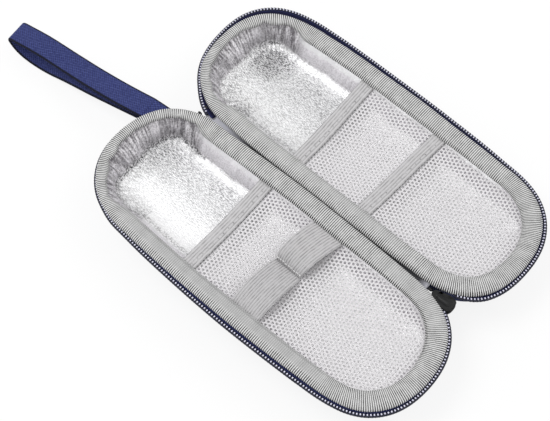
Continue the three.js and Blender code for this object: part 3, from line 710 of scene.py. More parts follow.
def drift(table, centre, out_x, out_y):
    """A table's offset, smoothed, at the places that turn about centre and face (out_x, out_y)."""
    angle = np.arctan2(out_y, out_x) % (2 * math.pi)
    place = RIM_RADIUS * angle + END_Y - centre
    place = np.where((np.abs(out_y) < 1e-6) & (out_x > 0), RIM_LENGTH - END_Y + centre, place)
    marks, offsets = zip(*table)
    return sum(np.interp(place + step, marks, offsets, period=RIM_LENGTH) for step in (-6, -3, 0, 3, 6)) / 5


# Stations round a half, each with the centre it turns about, its angle and length

class Rim:
    def __init__(self, arc_steps, side_steps):
        centre, angle = [], []
        for k in range(arc_steps):
            centre.append(END_Y)
            angle.append(math.pi * k / arc_steps)
        for k in range(side_steps):
            centre.append(END_Y * (1 - 2 * k / side_steps))
            angle.append(math.pi)
        for k in range(arc_steps):
            centre.append(-END_Y)
            angle.append(math.pi * (1 + k / arc_steps))
        for k in range(side_steps):
            centre.append(END_Y * (2 * k / side_steps - 1))
            angle.append(0.0)
        self.centre = np.array(centre)
        self.angle = np.array(angle)
        self.outward = np.stack([np.cos(self.angle), np.sin(self.angle)], axis=1)
        outline = self.ring(0.0, 0.0)
        gaps = np.linalg.norm(np.roll(outline, -1, axis=0) - outline, axis=1)
        self.length = np.concatenate(([0.0], np.cumsum(gaps)))
        self.share = self.length[:-1] / self.length[-1]

    def ring(self, inset, height, x=0.0):
        table = RIM_DRIFT["lid" if x else "base"]
        growth = 1 + drift(table, self.centre, self.outward[:, 0], self.outward[:, 1]) / RIM_RADIUS
        radius = (RIM_RADIUS - inset) * growth
        ring = np.empty((len(self.centre), 3))
        ring[:, 0] = x + radius * self.outward[:, 0]
        ring[:, 1] = self.centre + radius * self.outward[:, 1]
        ring[:, 2] = RIM_Z + height
        return ring

    def far_end(self):
        """1 on most of the strap end's arc, 0 on the sides and at the other end."""
        return smooth_share(self.outward[:, 1] * (self.centre > 0), 0.12, 0.5)

    def ripple(self, seed, counts, falloff=1.0):
        """Smooth random waves that close round the rim, about -1 to 1."""
        random = np.random.default_rng(seed)
        total = np.zeros(len(self.share))
        weight = 0.0
        for count in counts:
            size = 1.0 / count ** falloff
            total += size * np.sin(2 * math.pi * (count * self.share + random.random()))
            weight += size ** 2
        return total / math.sqrt(weight)


rim = Rim(96, 72)
fine_rim = Rim(220, 150)


# Binding: padded grosgrain folded over the wall, uneven where its cut edge shows at the far end

def binding_edge(stations, half):
    """Inset of the binding's inner edge at each station."""
    seed = 3 if half == "base" else 8
    notches = np.abs(stations.ripple(seed, (9, 14, 23, 31), 0.6))
    wave = stations.ripple(seed + 1, (5, 7, 11), 0.5)
    return 10.0 - stations.far_end() * (5.3 - 1.1 * notches) + 0.15 * wave


CROWN_INSET = 3.4
OUTER_SECTION = [(0.12, -2.1), (0.0, -1.5), (0.05, -0.8), (0.4, -0.3), (1.1, 0.0), (2.2, 0.2),
                 (CROWN_INSET, 0.27)]
INNER_SECTION = [(0.4, 0.2), (0.65, 0.04), (0.83, -0.2), (0.94, -0.7), (1.0, -1.2), (0.99, -1.9),
                 (0.92, -1.95), (0.9, -1.45)]
FOLDED_BACK = [(3.0, -1.25), (0.9, -1.3), (0.85, -2.1)]
RIB_STATIONS = 4
RIB_HEIGHT = 0.15
HIGHEST_CROWN = 0.45
rib_rim = Rim(112 * RIB_STATIONS, 114 * RIB_STATIONS)


def make_binding(half, x):
    stations = rib_rim
    edge = binding_edge(stations, half)
    puff = 0.12 * stations.ripple(21 if half == "base" else 22, (13, 19, 29, 37), 0.4)
    count = len(stations.centre)
    rib = np.cos(2 * math.pi * np.arange(count) / RIB_STATIONS)
    tooth = RIB_HEIGHT * rib * (1 + 0.35 * stations.ripple(25, (31, 53, 67), 0.2))
    rows = []
    for inset, height in OUTER_SECTION:
        outward_share = min(1.0, max(0.0, -height / 0.8)) if inset < 1 else 0.0
        level = np.minimum(height + tooth * (1 - outward_share), HIGHEST_CROWN)
        rows.append(stations.ring(inset - tooth * outward_share, level, x))
    for share, height in INNER_SECTION:
        level = height + puff * (1 - abs(share - 0.5))
        inset = CROWN_INSET + (edge - CROWN_INSET) * share
        level = np.minimum(level + tooth * 1.25, HIGHEST_CROWN)
        rows.append(stations.ring(inset + tooth * 0.8 * (share >= 0.9), level, x))
    rows += [stations.ring(inset, height, x) for inset, height in FOLDED_BACK]
    along = np.arange(count + 1) * BINDING_RIB_PITCH / RIB_STATIONS
    piece = grid(f"{half}_rim_binding_cloth", rows, binding_looks[half], along, True, True)
    return seat(outward(piece), half, "grey_binding", f"{half}_rim_binding")


# Foil lining: pleated wall, crease and a dished floor

FOIL_WALL_STEPS = 16
FOIL_FLOOR_STEPS = 14
CREASE_HALF_WIDTH = 24.4
CREASE_END_REACH = 25.8
CREASE_SQUARENESS = 4.0
FOAM_OUTSIDE = [(2.2, -1.6), (2.4, -5.5), (3.6, -10.5), (4.9, -15.6), (6.6, -20.5), (10.0, -24.0),
                (15.0, -26.3), (RIM_RADIUS, -26.3)]


def crease_radius(stations):
    """Distance of the crease from the middle line, squarer round the ends than the rim."""
    n = CREASE_SQUARENESS
    x, y = np.abs(stations.outward[:, 0]), np.abs(stations.outward[:, 1])
    return ((x / CREASE_HALF_WIDTH) ** n + (y / CREASE_END_REACH) ** n) ** (-1 / n)


def foil_rows(stations, half, x, grow=0.0):
    """Rows of the lining from its top edge to the middle of the floor, and how far down each row lies."""
    top = binding_edge(stations, half) - 0.9
    seed = 31 if half == "base" else 36
    crease = RIM_RADIUS - crease_radius(stations) + 0.3 * stations.ripple(seed, (17, 26, 41, 63), 0.4)
    pleat = stations.ripple(seed + 1, (38, 47, 58, 71, 83), 0.2)
    small = stations.ripple(seed + 2, (101, 131, 157), 0.2)
    ends = stations.far_end() + 0.35 * (1 - stations.far_end())
    folds = np.abs(pleat + 0.4 * small) ** 1.3 * (0.15 + 0.75 * ends)
    rows, levels = [], []
    for k in range(FOIL_WALL_STEPS + 1):
        share = k / FOIL_WALL_STEPS
        bow = math.sin(math.pi * share)
        inset = top + (crease - top) * (share + 0.08 * bow)
        height = -1.2 - 10.8 * share ** 0.92
        pleated = inset + folds * (0.25 + 0.75 * bow) * (1 - share ** 6)
        rows.append(stations.ring(pleated - grow, height - 0.6 * grow, x))
        levels.append(CREASE_V * share)
    reach = RIM_RADIUS - crease
    for k in range(1, FOIL_FLOOR_STEPS + 1):
        share = k / FOIL_FLOOR_STEPS
        inset = crease + reach * share ** 1.25
        fade = (1 - share) ** 5
        height = -12.0 - 3.6 * (1 - (1 - share) ** 2.6) + 0.22 * fade * (pleat + small) * ends
        rows.append(stations.ring(inset, height - grow, x))
        levels.append(CREASE_V + CREASE_HALF_WIDTH * share ** 1.25)
    return np.array(rows), np.array(levels)


def make_foil(half, x):
    rows, levels = foil_rows(fine_rim, half, x)
    piece = grid(f"{half}_foil_lining", rows, foil_looks[half], fine_rim.length, closed_points=True,
                 levels=levels, flip=True)
    return seat(piece, half, "foil", f"{half}_foil_liner")


def make_foam(half, x):
    inner = foil_rows(rim, half, x, 0.9)[0]
    outer = [rim.ring(inset, height, x) for inset, height in FOAM_OUTSIDE]
    rows = np.array(outer[::-1] + list(inner[1:]))
    piece = grid(f"{half}_foam_tray", rows, foam_look, rim.length, closed_points=True)
    return seat(outward(piece), half, "foam", f"{half}_insulation_foam")


# Moulded outer shell

SHELL_WALL = [(3.4, -1.4), (1.7, -1.35), (1.35, -1.7), (1.35, -4.0), (1.8, -6.0), (3.0, -11.0), (4.3, -16.0)]
SHELL_ROUND = 10.0
SHELL_ROUND_STEPS = 10


def make_shell(half, x):
    profile = list(SHELL_WALL)
    for k in range(SHELL_ROUND_STEPS + 1):
        turn = math.pi / 2 * k / SHELL_ROUND_STEPS
        height = SHELL_ROUND - RIM_Z - SHELL_ROUND * math.sin(turn)
        profile.append((14.5 - SHELL_ROUND * math.cos(turn), height))
    profile += [(22.0, -RIM_Z), (RIM_RADIUS, -RIM_Z)]
    rows = [rim.ring(inset, height, x) for inset, height in profile]
    piece = grid(f"{half}_shell_cloth", rows, shell_look, rim.length, closed_points=True)
    return seat(piece, half, "navy_shell", f"{half}_shell")


# Pocket nets: cloth with round holes, drawn between its trims and the binding

NET_PITCH = 2.08
NET_HOLE_RADIUS = 0.68
NET_THICKNESS = 0.3
NET_EDGE_INSET = 9.45
NET_EDGE_DEPTH = 2.95
NET_SAG = 2.6
TRIM_SAG = 0.5
NET_END_Y = -(END_Y + RIM_RADIUS - NET_EDGE_INSET)
HOLE_SIDES = 12
POCKETS = {
    "base_mesh_pocket": ("base", 22.5, NET_END_Y, 51),
    "lid_upper_mesh_pocket": ("lid", 21.5, -20.4, 52),
    "lid_lower_mesh_pocket": ("lid", -23.0, NET_END_Y, 53),
}


def net_reach(x, y, half):
    """Where a point turns about, its distance from there and the distance of the net's edge."""
    centre = np.clip(y, -END_Y, END_Y)
    reach = np.maximum(np.hypot(x, y - centre), 0.01)
    growth = 1 + drift(RIM_DRIFT[half], centre, x / reach, (y - centre) / reach) / RIM_RADIUS
    return centre, reach, (RIM_RADIUS - NET_EDGE_INSET) * growth


def half_width(y):
    """Half the width of the net's outline at y."""
    past = np.maximum(-END_Y - y, 0.0)
    return np.sqrt(np.maximum((RIM_RADIUS - NET_EDGE_INSET) ** 2 - past ** 2, 0.0))


def net_depth(x, y, top_y, low_y, seed=0):
    """How far the net lies below the rim, x measured from the middle of its half."""
    width = np.maximum(half_width(y), 0.01)
    across = np.clip(1 - (x / width) ** 2, 0, 1)
    along = np.clip((top_y - y) / (top_y - low_y), 0, 1)
    slack = 0.22 * np.sin(0.16 * x + 0.11 * y + seed) + 0.14 * np.sin(0.31 * y - 0.12 * x + 2.0 * seed)
    return NET_EDGE_DEPTH + across * (TRIM_SAG + 4 * along * (1 - along) * (NET_SAG + slack))


def hold_inside(points, half):
    """Draws points that stand outside the net's edge back onto it."""
    centre, reach, edge = net_reach(points[:, 0], points[:, 1], half)
    share = np.minimum(1.0, edge / reach)
    points[:, 0] *= share
    points[:, 1] = centre + (points[:, 1] - centre) * share
    return points


def net_cells(half, top_y, low_y):
    """Middles of the net's holes, in rows set half a pitch to the side of each other."""
    row_pitch = NET_PITCH * math.sqrt(3) / 2
    columns = int(RIM_RADIUS / NET_PITCH)
    centres = []
    for row in range(int((top_y - low_y) / row_pitch) + 2):
        y = top_y - row * row_pitch
        shift = NET_PITCH / 2 * (row % 2)
        for column in range(-columns, columns + 1):
            x = column * NET_PITCH + shift
            reach, edge = net_reach(x, y, half)[1:]
            if reach < edge + 0.4 and y > low_y - 0.4:
                centres.append((x, y))
    return centres


def make_net(node, half, top_y, low_y, seed):
    corner_reach = NET_PITCH / math.sqrt(3)
    flat, corner_index, faces = [], {}, []
    holes = []
    for x, y in net_cells(half, top_y, low_y):
        corners = []
        for k in range(6):
            angle = math.pi / 6 + math.pi / 3 * k
            px, py = x + corner_reach * math.cos(angle), y + corner_reach * math.sin(angle)
            key = (round(px * 20), round(py * 20))
            if key not in corner_index:
                corner_index[key] = len(flat)
                flat.append((px, py))
            corners.append(corner_index[key])
        first = len(flat)
        holes.append(first)
        for k in range(HOLE_SIDES):
            angle = math.pi / 6 + 2 * math.pi * k / HOLE_SIDES
            flat.append((x + NET_HOLE_RADIUS * math.cos(angle), y + NET_HOLE_RADIUS * math.sin(angle)))
        for k in range(6):
            inner = [first + (2 * k + step) % HOLE_SIDES for step in range(3)]
            after = corners[(k + 1) % 6]
            faces.append((corners[k], inner[1], inner[0]))
            faces.append((corners[k], after, inner[1]))
            faces.append((after, inner[2], inner[1]))
    flat = hold_inside(np.array(flat), half)
    depth = net_depth(flat[:, 0], flat[:, 1], top_y, low_y, seed)
    x = HALVES[half]
    top = np.column_stack([flat[:, 0] + x, flat[:, 1], RIM_Z - depth])
    low = top - [0.0, 0.0, NET_THICKNESS]
    count = len(top)
    skins = list(faces)
    skins += [tuple(i + count for i in reversed(face)) for face in faces]
    for first in holes:
        for k in range(HOLE_SIDES):
            a, b = first + k, first + (k + 1) % HOLE_SIDES
            skins.append((a, b, b + count, a + count))
    edges = {}
    for face in faces:
        for a, b in zip(face, face[1:] + face[:1]):
            edges[(a, b)] = edges.get((b, a)) is None
            if (b, a) in edges:
                edges[(b, a)] = False
    hole_points = {first + k for first in holes for k in range(HOLE_SIDES)}
    for (a, b), open_edge in edges.items():
        if open_edge and a not in hole_points:
            skins.append((b, a, a + count, b + count))
    piece = add_object(f"{node}_cloth", np.vstack([top, low]), skins, net_look, smooth=False)
    seat(piece, half, "white_net", node)
    width = 2 * (RIM_RADIUS - NET_EDGE_INSET)
    length = top_y - low_y
    cut = width * length
    if low_y < -END_Y:
        cut -= (4 - math.pi) / 2 * (width / 2) ** 2
    return piece


# Flat bands: a section swept along stations that lie side by side

def band(name, path, widths, thickness, look, steps, ridges=0, ridge_height=0.0):
    """A flat band. path holds its centre, across and up, one point or direction per station each."""
    rows = []
    shares = np.linspace(-1, 1, steps + 1)
    profile = [(s, 1) for s in shares] + [(s, -1) for s in shares[::-1]]
    for c, a, u, w in zip(*path, widths):
        row = []
        for s, side in profile:
            past = max(0.0, (abs(s) * w / 2 - w / 2 + thickness / 2) / (thickness / 2))
            rounding = max(math.sqrt(max(0.0, 1 - past ** 2)), 0.25)
            ridge = ridge_height * math.cos(math.pi * ridges * (s + 1)) * (abs(s) < 0.97)
            row.append(c + a * s * w / 2 + u * side * (thickness / 2 * rounding + ridge))
        rows.append(row)
    across = [s * widths[0] / 2 for s, side in profile]
    return swept(name, np.array(rows), distances(path[0]), across, look)


# Elastic edges of the pockets

TRIM_THICKNESS = 1.2
TRIM_END_X = 29.3
TRIMS = {
    "base_pocket_trim": ("base", 24.4, 0.6, 61),
    "lid_upper_pocket_trim": ("lid", 23.1, 1.1, 62),
    "lid_lower_pocket_trim": ("lid", -21.8, -1.4, 63),
}


def make_trim(node, half, centre_y, slant, seed):
    x = np.linspace(-TRIM_END_X, TRIM_END_X, 90)
    share = x / TRIM_END_X
    sag = TRIM_SAG * (1 - share ** 2) + 0.05 * np.sin(0.35 * x + seed)
    y = centre_y + slant * share + 0.25 * np.sin(0.09 * x + seed)
    centre = np.column_stack([x + HALVES[half], y, RIM_Z - 2.65 - sag])
    across = np.tile([0.0, 1.0, 0.0], (len(x), 1))
    up = np.tile([0.0, 0.0, 1.0], (len(x), 1))
    widths = np.full(len(x), TRIM_WIDTH)
    piece = band(f"{node}_elastic", (centre, across, up), widths, TRIM_THICKNESS, trim_look, 44,
                 TRIM_RIDGES, 0.05)
    return seat(piece, half, "grey_elastic", node)


# Pen band: one wide elastic sewn down near its middle, its two loops standing open

PEN_BAND_LEFT_X = -29.2
PEN_BAND_RIGHT_X = 28.9
PEN_SEAM_X = 2.4
PEN_BAND_Y = -13.0
PEN_BAND_THICKNESS = 1.0
LEFT_ARCH = (4.4, 7.2)
RIGHT_ARCH = (5.4, 7.4)
PEN_STITCH_PITCH = 1.75


def pen_band_height(x, side):
    """Height of the band above its ground at x. side runs from 0 at its -Y edge to 1 at its +Y edge."""
    if x < PEN_SEAM_X:
        share = (x - PEN_BAND_LEFT_X) / (PEN_SEAM_X - PEN_BAND_LEFT_X)
        height = LEFT_ARCH[0] + (LEFT_ARCH[1] - LEFT_ARCH[0]) * side
        shape = math.sin(math.pi * share ** 0.85) ** 0.75
    else:
        share = (x - PEN_SEAM_X) / (PEN_BAND_RIGHT_X - PEN_SEAM_X)
        height = RIGHT_ARCH[0] + (RIGHT_ARCH[1] - RIGHT_ARCH[0]) * side
        shape = math.sin(math.pi * share ** 0.62) ** 0.8
    return height * max(shape, 0.0)


def make_pen_band():
    top_y, low_y = POCKETS["base_mesh_pocket"][1:3]
    along = []
    for first, last, count in ((PEN_BAND_LEFT_X, PEN_SEAM_X, 60), (PEN_SEAM_X, PEN_BAND_RIGHT_X, 54)):
        turn = np.linspace(0, math.pi, count)
        along += list(first + (last - first) * (1 - np.cos(turn)) / 2)[len(along) > 0:]
    steps = 8 * PEN_RIDGES
    sides = np.linspace(0, 1, steps + 1)
    top = []
    for x in along:
        past = max(0.0, (x - PEN_SEAM_X) / (PEN_BAND_RIGHT_X - PEN_SEAM_X))
        centre_y = PEN_BAND_Y - 2.6 * past ** 1.3
        width = PEN_BAND_WIDTH + 2.2 * past
        bow = 0.7 * math.exp(-((x - PEN_SEAM_X) / 1.5) ** 2)
        row = []
        for side in sides:
            y = centre_y + (side - 0.5) * (width - bow)
            ground = RIM_Z - float(net_depth(x, y, top_y, low_y, 51)) + PEN_BAND_THICKNESS + 0.1
            ridge = 0.1 * math.cos(2 * math.pi * PEN_RIDGES * side)
            seam = 0.35 * math.exp(-((x - PEN_SEAM_X) / 0.8) ** 2)
            curl = 0.35 * abs(2 * side - 1) ** 8
            row.append((x, y, ground + pen_band_height(x, side) + ridge - seam - curl))
        top.append(row)
    top = np.array(top)
    tangent = np.gradient(top, axis=0)
    normal = np.stack([-tangent[..., 2], np.zeros(tangent.shape[:2]), tangent[..., 0]], axis=-1)
    normal /= np.linalg.norm(normal, axis=-1, keepdims=True)
    low = top - normal * PEN_BAND_THICKNESS
    middle = top[:, len(sides) // 2]
    rows = np.concatenate([top, low[:, ::-1]], axis=1)
    across = [(s - 0.5) * PEN_BAND_WIDTH for s in sides]
    across += across[::-1]
    piece = swept("pen_loop_elastic", rows, distances(middle), across, band_look)
    seat(piece, "base", "grey_elastic", "pen_loop_band")
    press(piece)


def press(piece):
    """Gives a piece of the pen band a mesh of its own."""
    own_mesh(piece)


def make_pen_seam():
    """The row of stitches that holds the band down between its two loops."""
    top_y, low_y = POCKETS["base_mesh_pocket"][1:3]
    reach = PEN_BAND_WIDTH / 2 - 0.8
    marks = np.arange(PEN_BAND_Y - reach, PEN_BAND_Y + reach, PEN_STITCH_PITCH)
    x = PEN_SEAM_X + 0.35 + 0.1 * np.sin(2.3 * marks)
    sides = (marks - PEN_BAND_Y) / PEN_BAND_WIDTH + 0.5
    rise = np.array([pen_band_height(a, side) for a, side in zip(x, sides)])
    ground = RIM_Z - net_depth(x, marks, top_y, low_y, 51) + PEN_BAND_THICKNESS + rise
    starts = np.column_stack([x, marks, ground])
    ends = starts + [0.15, PEN_STITCH_PITCH * 0.82, 0.0]
    thread = stitches("pen_loop_seam_thread", starts, ends, 0.28, thread_look, 0.2)
    seat(thread, "base", "grey_elastic")
    press(thread)


# Threads: short rounded stitches laid end to end along a line

STITCH_SIDES = 6
STITCH_SECTIONS = ((0.0, 0.35), (0.12, 0.85), (0.5, 1.0), (0.88, 0.85), (1.0, 0.35))


def stitches(name, starts, ends, radius, look, lift):
    """One rounded stitch from each start to its end, its middle raised by lift."""
    points, faces = [], []
    sides, last = STITCH_SIDES, len(STITCH_SECTIONS) - 1
    for a, b in zip(np.asarray(starts, float), np.asarray(ends, float)):
        axis = b - a
        length = np.linalg.norm(axis)
        axis = axis / length
        side = np.cross(axis, [0.0, 0.0, 1.0])
        side = side / np.linalg.norm(side)
        up = np.cross(side, axis)
        first = len(points)
        for share, size in STITCH_SECTIONS:
            rise = lift * math.sin(math.pi * share)
            for k in range(sides):
                turn = 2 * math.pi * k / sides
                offset = side * math.cos(turn) + up * math.sin(turn)
                points.append(a + axis * length * share + up * rise + offset * radius * size)
        for low in range(first, first + last * sides, sides):
            for k in range(sides):
                j = (k + 1) % sides
                faces.append((low + k, low + j, low + sides + j, low + sides + k))
        faces.append(tuple(first + k for k in range(sides))[::-1])
        faces.append(tuple(first + last * sides + k for k in range(sides)))
    return outward(add_object(name, points, faces, look))


# Zip: tape, coil and the thread that sews the coil down

TAPE_INNER_INSET = 0.6
TAPE_OUTER_INSET = -0.95
TAPE_TOP = -1.95
TAPE_STEP = 1.2
CORD_HALF_WIDTH = 0.88
CORD_HALF_HEIGHT = 0.52
COIL_INSET = -1.75
COIL_HALF_WIDTH = 0.72
COIL_HALF_HEIGHT = 0.62
COIL_LEVEL = -2.15
COIL_PITCH = 1.6
COIL_WIRE_RADIUS = 0.27
COIL_STEPS = 12
BEAD_RADIUS = 0.39


def zip_stations(half, start_y, end_y, inset, pitch):
    """Stations along a half's zip from near the spine at -Y to near the spine at +Y."""
    radius = RIM_RADIUS - inset
    first = math.asin((abs(start_y) - END_Y) / radius)
    last = math.asin((end_y - END_Y) / radius)
    arc_one, arc_two = radius * (math.pi - first), radius * (math.pi - last)
    total = arc_one + 2 * END_Y + arc_two
    side = -1 if half == "base" else 1
    centres, angles, lengths = [], [], []
    count = int(round(total / pitch))
    for k in range(count + 1):
        s = total * k / count
        if s < arc_one:
            centre, angle = -END_Y, -(first + s / radius)
        elif s < arc_one + 2 * END_Y:
            centre, angle = s - arc_one - END_Y, -math.pi
        else:
            centre, angle = END_Y, math.pi - (s - arc_one - 2 * END_Y) / radius
        centres.append(centre)
        angles.append(angle)
        lengths.append(s)
    centres, angles = np.array(centres), np.array(angles)
    outward_x, outward_y = -side * np.cos(angles), np.sin(angles)
    return centres, outward_x, outward_y, np.array(lengths)


def zip_droop(half, centres, out_x, out_y):
    """How far the zip turns in under the rim, 0 to 1. The strap pulls it in on the base."""
    if half == "lid":
        return np.zeros(len(centres))
    return smooth_share(np.where(out_x > 0, 1.0, out_y) * (centres > 0), 0.1, 0.5)


def zip_point(half, stations, inset, height):
    """Points of the zip at an inset from the rim and a height above it, one per station."""
    centres, out_x, out_y = stations[:3]
    droop = zip_droop(half, centres, out_x, out_y)
    growth = 1 + drift(RIM_DRIFT[half], centres, out_x, out_y) / RIM_RADIUS
    loose = np.clip((TAPE_INNER_INSET - inset) / (TAPE_INNER_INSET - TAPE_OUTER_INSET), 0, 1)
    radius = (RIM_RADIUS - inset - 1.25 * droop) * growth
    radius += loose * drift(ZIP_DRIFT[half], centres, out_x, out_y)
    x = HALVES[half] + radius * out_x
    return np.column_stack([x, centres + radius * out_y, RIM_Z + height - 0.5 * droop])


def make_zip(half, start_y, tape_y, coil_y):
    stations = zip_stations(half, -tape_y, tape_y, COIL_INSET, TAPE_STEP)
    section = [(TAPE_INNER_INSET, -2.5), (TAPE_OUTER_INSET, -2.5), (TAPE_OUTER_INSET - 0.1, -2.2),
               (-0.82, TAPE_TOP + 0.02), (-0.62, TAPE_TOP + 0.16), (-0.4, TAPE_TOP + 0.02),
               (-0.1, TAPE_TOP), (TAPE_INNER_INSET, TAPE_TOP)]
    rows = np.array([zip_point(half, stations, inset, height) for inset, height in section])
    tape = grid(f"{half}_zip_tape_cloth", rows, tape_look, stations[3], True, caps=True)
    seat(outward(tape), half, "navy_zip_tape", f"{half}_zipper_tape")

    fine = zip_stations(half, start_y, coil_y, COIL_INSET, COIL_PITCH / COIL_STEPS)
    turn = 2 * math.pi * fine[3] / COIL_PITCH
    level = np.cos(turn) * COIL_HALF_HEIGHT
    inset = COIL_INSET + np.sin(turn) * COIL_HALF_WIDTH
    middle = zip_point(half, fine, inset, COIL_LEVEL + level)
    tangent = np.gradient(middle, axis=0)
    tangent /= np.linalg.norm(tangent, axis=1, keepdims=True)
    core = zip_point(half, fine, COIL_INSET, COIL_LEVEL)
    away = middle - core
    away -= tangent * np.sum(away * tangent, axis=1, keepdims=True)
    away /= np.linalg.norm(away, axis=1, keepdims=True)
    beside = np.cross(tangent, away)
    rows = []
    for k in range(6):
        angle = math.pi / 3 * k
        rows.append(middle + COIL_WIRE_RADIUS * (away * math.cos(angle) + beside * math.sin(angle)))
    wire = grid(f"{half}_zip_coil_wire", np.array(rows), coil_look, fine[3], True, caps=True)
    seat(outward(wire), half, "zip_coil", f"{half}_zipper_coil")

    rows = []
    coarse = zip_stations(half, start_y, coil_y, COIL_INSET, TAPE_STEP)
    for k in range(8):
        angle = math.pi / 4 * k
        beside = CORD_HALF_WIDTH * math.cos(angle)
        above = CORD_HALF_HEIGHT * math.sin(angle)
        rows.append(zip_point(half, coarse, COIL_INSET + beside, COIL_LEVEL + above))
    cord = grid(f"{half}_zip_coil_cord", np.array(rows), cord_look, coarse[3], True, caps=True)
    seat(outward(cord), half, "navy_zip_tape")

    beads = zip_stations(half, start_y, coil_y, COIL_INSET, COIL_PITCH)
    a = zip_point(half, beads, -1.02, COIL_LEVEL + 0.72)
    b = zip_point(half, beads, -1.92, COIL_LEVEL + 0.9)
    thread = stitches(f"{half}_zip_coil_thread", a[1:-1], b[1:-1], BEAD_RADIUS, dot_look, 0.12)
    seat(thread, half, "zip_coil")


# Rounded plates for the metal parts

def round_outline(points, passes=2):
    """A closed outline with its corners cut off, once in each pass."""
    points = np.asarray(points, float)
    for _ in range(passes):
        after = np.roll(points, -1, axis=0)
        first = 0.75 * points + 0.25 * after
        second = 0.25 * points + 0.75 * after
        points = np.stack([first, second], axis=1).reshape(-1, 2)
    return points


LYING, SIDEWAYS, HANGING = (0, 1, 2), (2, 0, 1), (0, 2, 1)


def placer(middle, order):
    """Turns u, v and w, in millimetres from middle, into a point. order says which of them are x, y and z."""
    return lambda *uvw: Vector([middle[k] + uvw[order[k]] for k in range(3)]) * MM


def add_plate(mesh, outline, place, low, high, bevel):
    """A bevelled plate. place turns (u, v, w) into a point, w running from low to high. The bevel is in
    millimetres."""
    bottom = [mesh.verts.new(place(u, v, low)) for u, v in outline]
    top = [mesh.verts.new(place(u, v, high)) for u, v in outline]
    count = len(outline)
    faces = [mesh.faces.new(top), mesh.faces.new(bottom[::-1])]
    for k in range(count):
        j = (k + 1) % count
        faces.append(mesh.faces.new((bottom[k], bottom[j], top[j], top[k])))
    rims = list(faces[0].edges) + list(faces[1].edges)
    bmesh.ops.bevel(mesh, geom=rims, offset=bevel * MM, segments=3, affect="EDGES", profile=0.6)


def metal_object(name, mesh, look):
    bmesh.ops.recalc_face_normals(mesh, faces=mesh.faces)
    data = bpy.data.meshes.new(name)
    mesh.to_mesh(data)
    mesh.free()
    data.materials.append(look)
    data.polygons.foreach_set("use_smooth", [True] * len(data.polygons))
    piece = bpy.data.objects.new(name, data)
    bpy.context.scene.collection.objects.link(piece)
    return piece


# Slider and its pull

SLIDER_Y = -79.93
SLIDER_LENGTH = 12.8
SLIDER_HEAD = 3.9
SLIDER_SHIFT = -0.9
SLIDER_OUTLINE = [(0.0, 0.37), (0.19, 0.56), (0.42, 0.8), (0.64, 1.0), (0.85, 1.0), (1.0, 0.7)]
SLIDER_TOP = (-0.86, -0.12)
SLIDER_LOW = (-4.2, -3.35)
PULL_PIN_Z = -6.4
PULL_WIDTH = 6.0
PULL_LENGTH = 18.5
PULL_THICKNESS = 1.4


def slider_outline():
    right = [(across * SLIDER_HEAD, SLIDER_LENGTH * (0.5 - along)) for along, across in SLIDER_OUTLINE]
    left = [(-u, v) for u, v in reversed(right)]
    return round_outline(right + left)


def make_slider():
    level = placer((SPINE_X + SLIDER_SHIFT, SLIDER_Y, RIM_Z), LYING)
    mesh = bmesh.new()
    add_plate(mesh, slider_outline(), level, *SLIDER_TOP, 0.42)
    add_plate(mesh, slider_outline(), level, *SLIDER_LOW, 0.3)
    post = round_outline([(1.2, -3.0), (0.0, -0.4), (-1.2, -3.0), (0.0, -5.6)])
    add_plate(mesh, post, level, SLIDER_LOW[1] - 0.2, SLIDER_TOP[0] + 0.2, 0.05)
    crown = round_outline([(1.9, -4.6), (2.1, 0.5), (1.0, 4.2), (-1.0, 4.2), (-2.1, 0.5), (-1.9, -4.6)], 3)
    add_plate(mesh, crown, level, SLIDER_TOP[1] - 0.1, SLIDER_TOP[1] + 0.14, 0.12)
    side = placer((SPINE_X, SLIDER_Y, RIM_Z), SIDEWAYS)
    for sign in (-1, 1):
        outer, inner = sign * 4.1, sign * 2.8
        foot = round_outline([(outer, -4.0), (inner, -4.0), (inner, -7.0), (outer, -7.0)], 1)
        add_plate(mesh, foot, side, -1.0, 1.0, 0.1)
    bar = round_outline([(-4.1, -6.4), (4.1, -6.4), (4.1, -7.6), (-4.1, -7.6)], 2)
    add_plate(mesh, bar, side, -1.0, 1.0, 0.2)
    piece = metal_object("slider_enamelled_body", mesh, slider_look)
    return seat(piece, "slider", "black_metal", "zipper_slider")


def make_pull():
    pin_middle = (SPINE_X, SLIDER_Y, RIM_Z + PULL_PIN_Z)
    hang = placer(pin_middle, HANGING)
    mesh = bmesh.new()
    half = PULL_WIDTH / 2
    turns = [math.pi * (1 + k / 10) for k in range(11)]
    grip = [(half * math.cos(turn), half * math.sin(turn) - PULL_LENGTH + half) for turn in turns]
    grip = round_outline(grip + [(half, -5.1), (-half, -5.1)], 1)
    thick = PULL_THICKNESS / 2
    add_plate(mesh, grip, hang, -thick, thick, 0.3)
    dish = round_outline([(half - 1.3, -6.6), (1.0 - half + 0.3, -6.6), (1.3 - half, -PULL_LENGTH + 3.0),
                          (half - 1.3, -PULL_LENGTH + 3.0)], 3)
    add_plate(mesh, dish, hang, -thick - 0.12, thick + 0.12, 0.1)
    for sign in (-1, 1):
        arm = round_outline([(sign * half, 0.8), (sign * (half - 1.2), 0.8), (sign * (half - 1.2), -5.6),
                             (sign * half, -5.6)], 1)
        add_plate(mesh, arm, hang, -thick, thick, 0.2)
    pin = [(0.7 * math.cos(math.pi * k / 8), 0.7 * math.sin(math.pi * k / 8)) for k in range(16)]
    add_plate(mesh, pin, placer(pin_middle, SIDEWAYS), 0.6 - half, half - 0.6, 0.1)
    piece = metal_object("pull_tab_enamelled", mesh, slider_look)
    return seat(piece, "pull_tab", "black_metal", "zipper_pull_tab")


# Stops at the ends of the coils: low clips

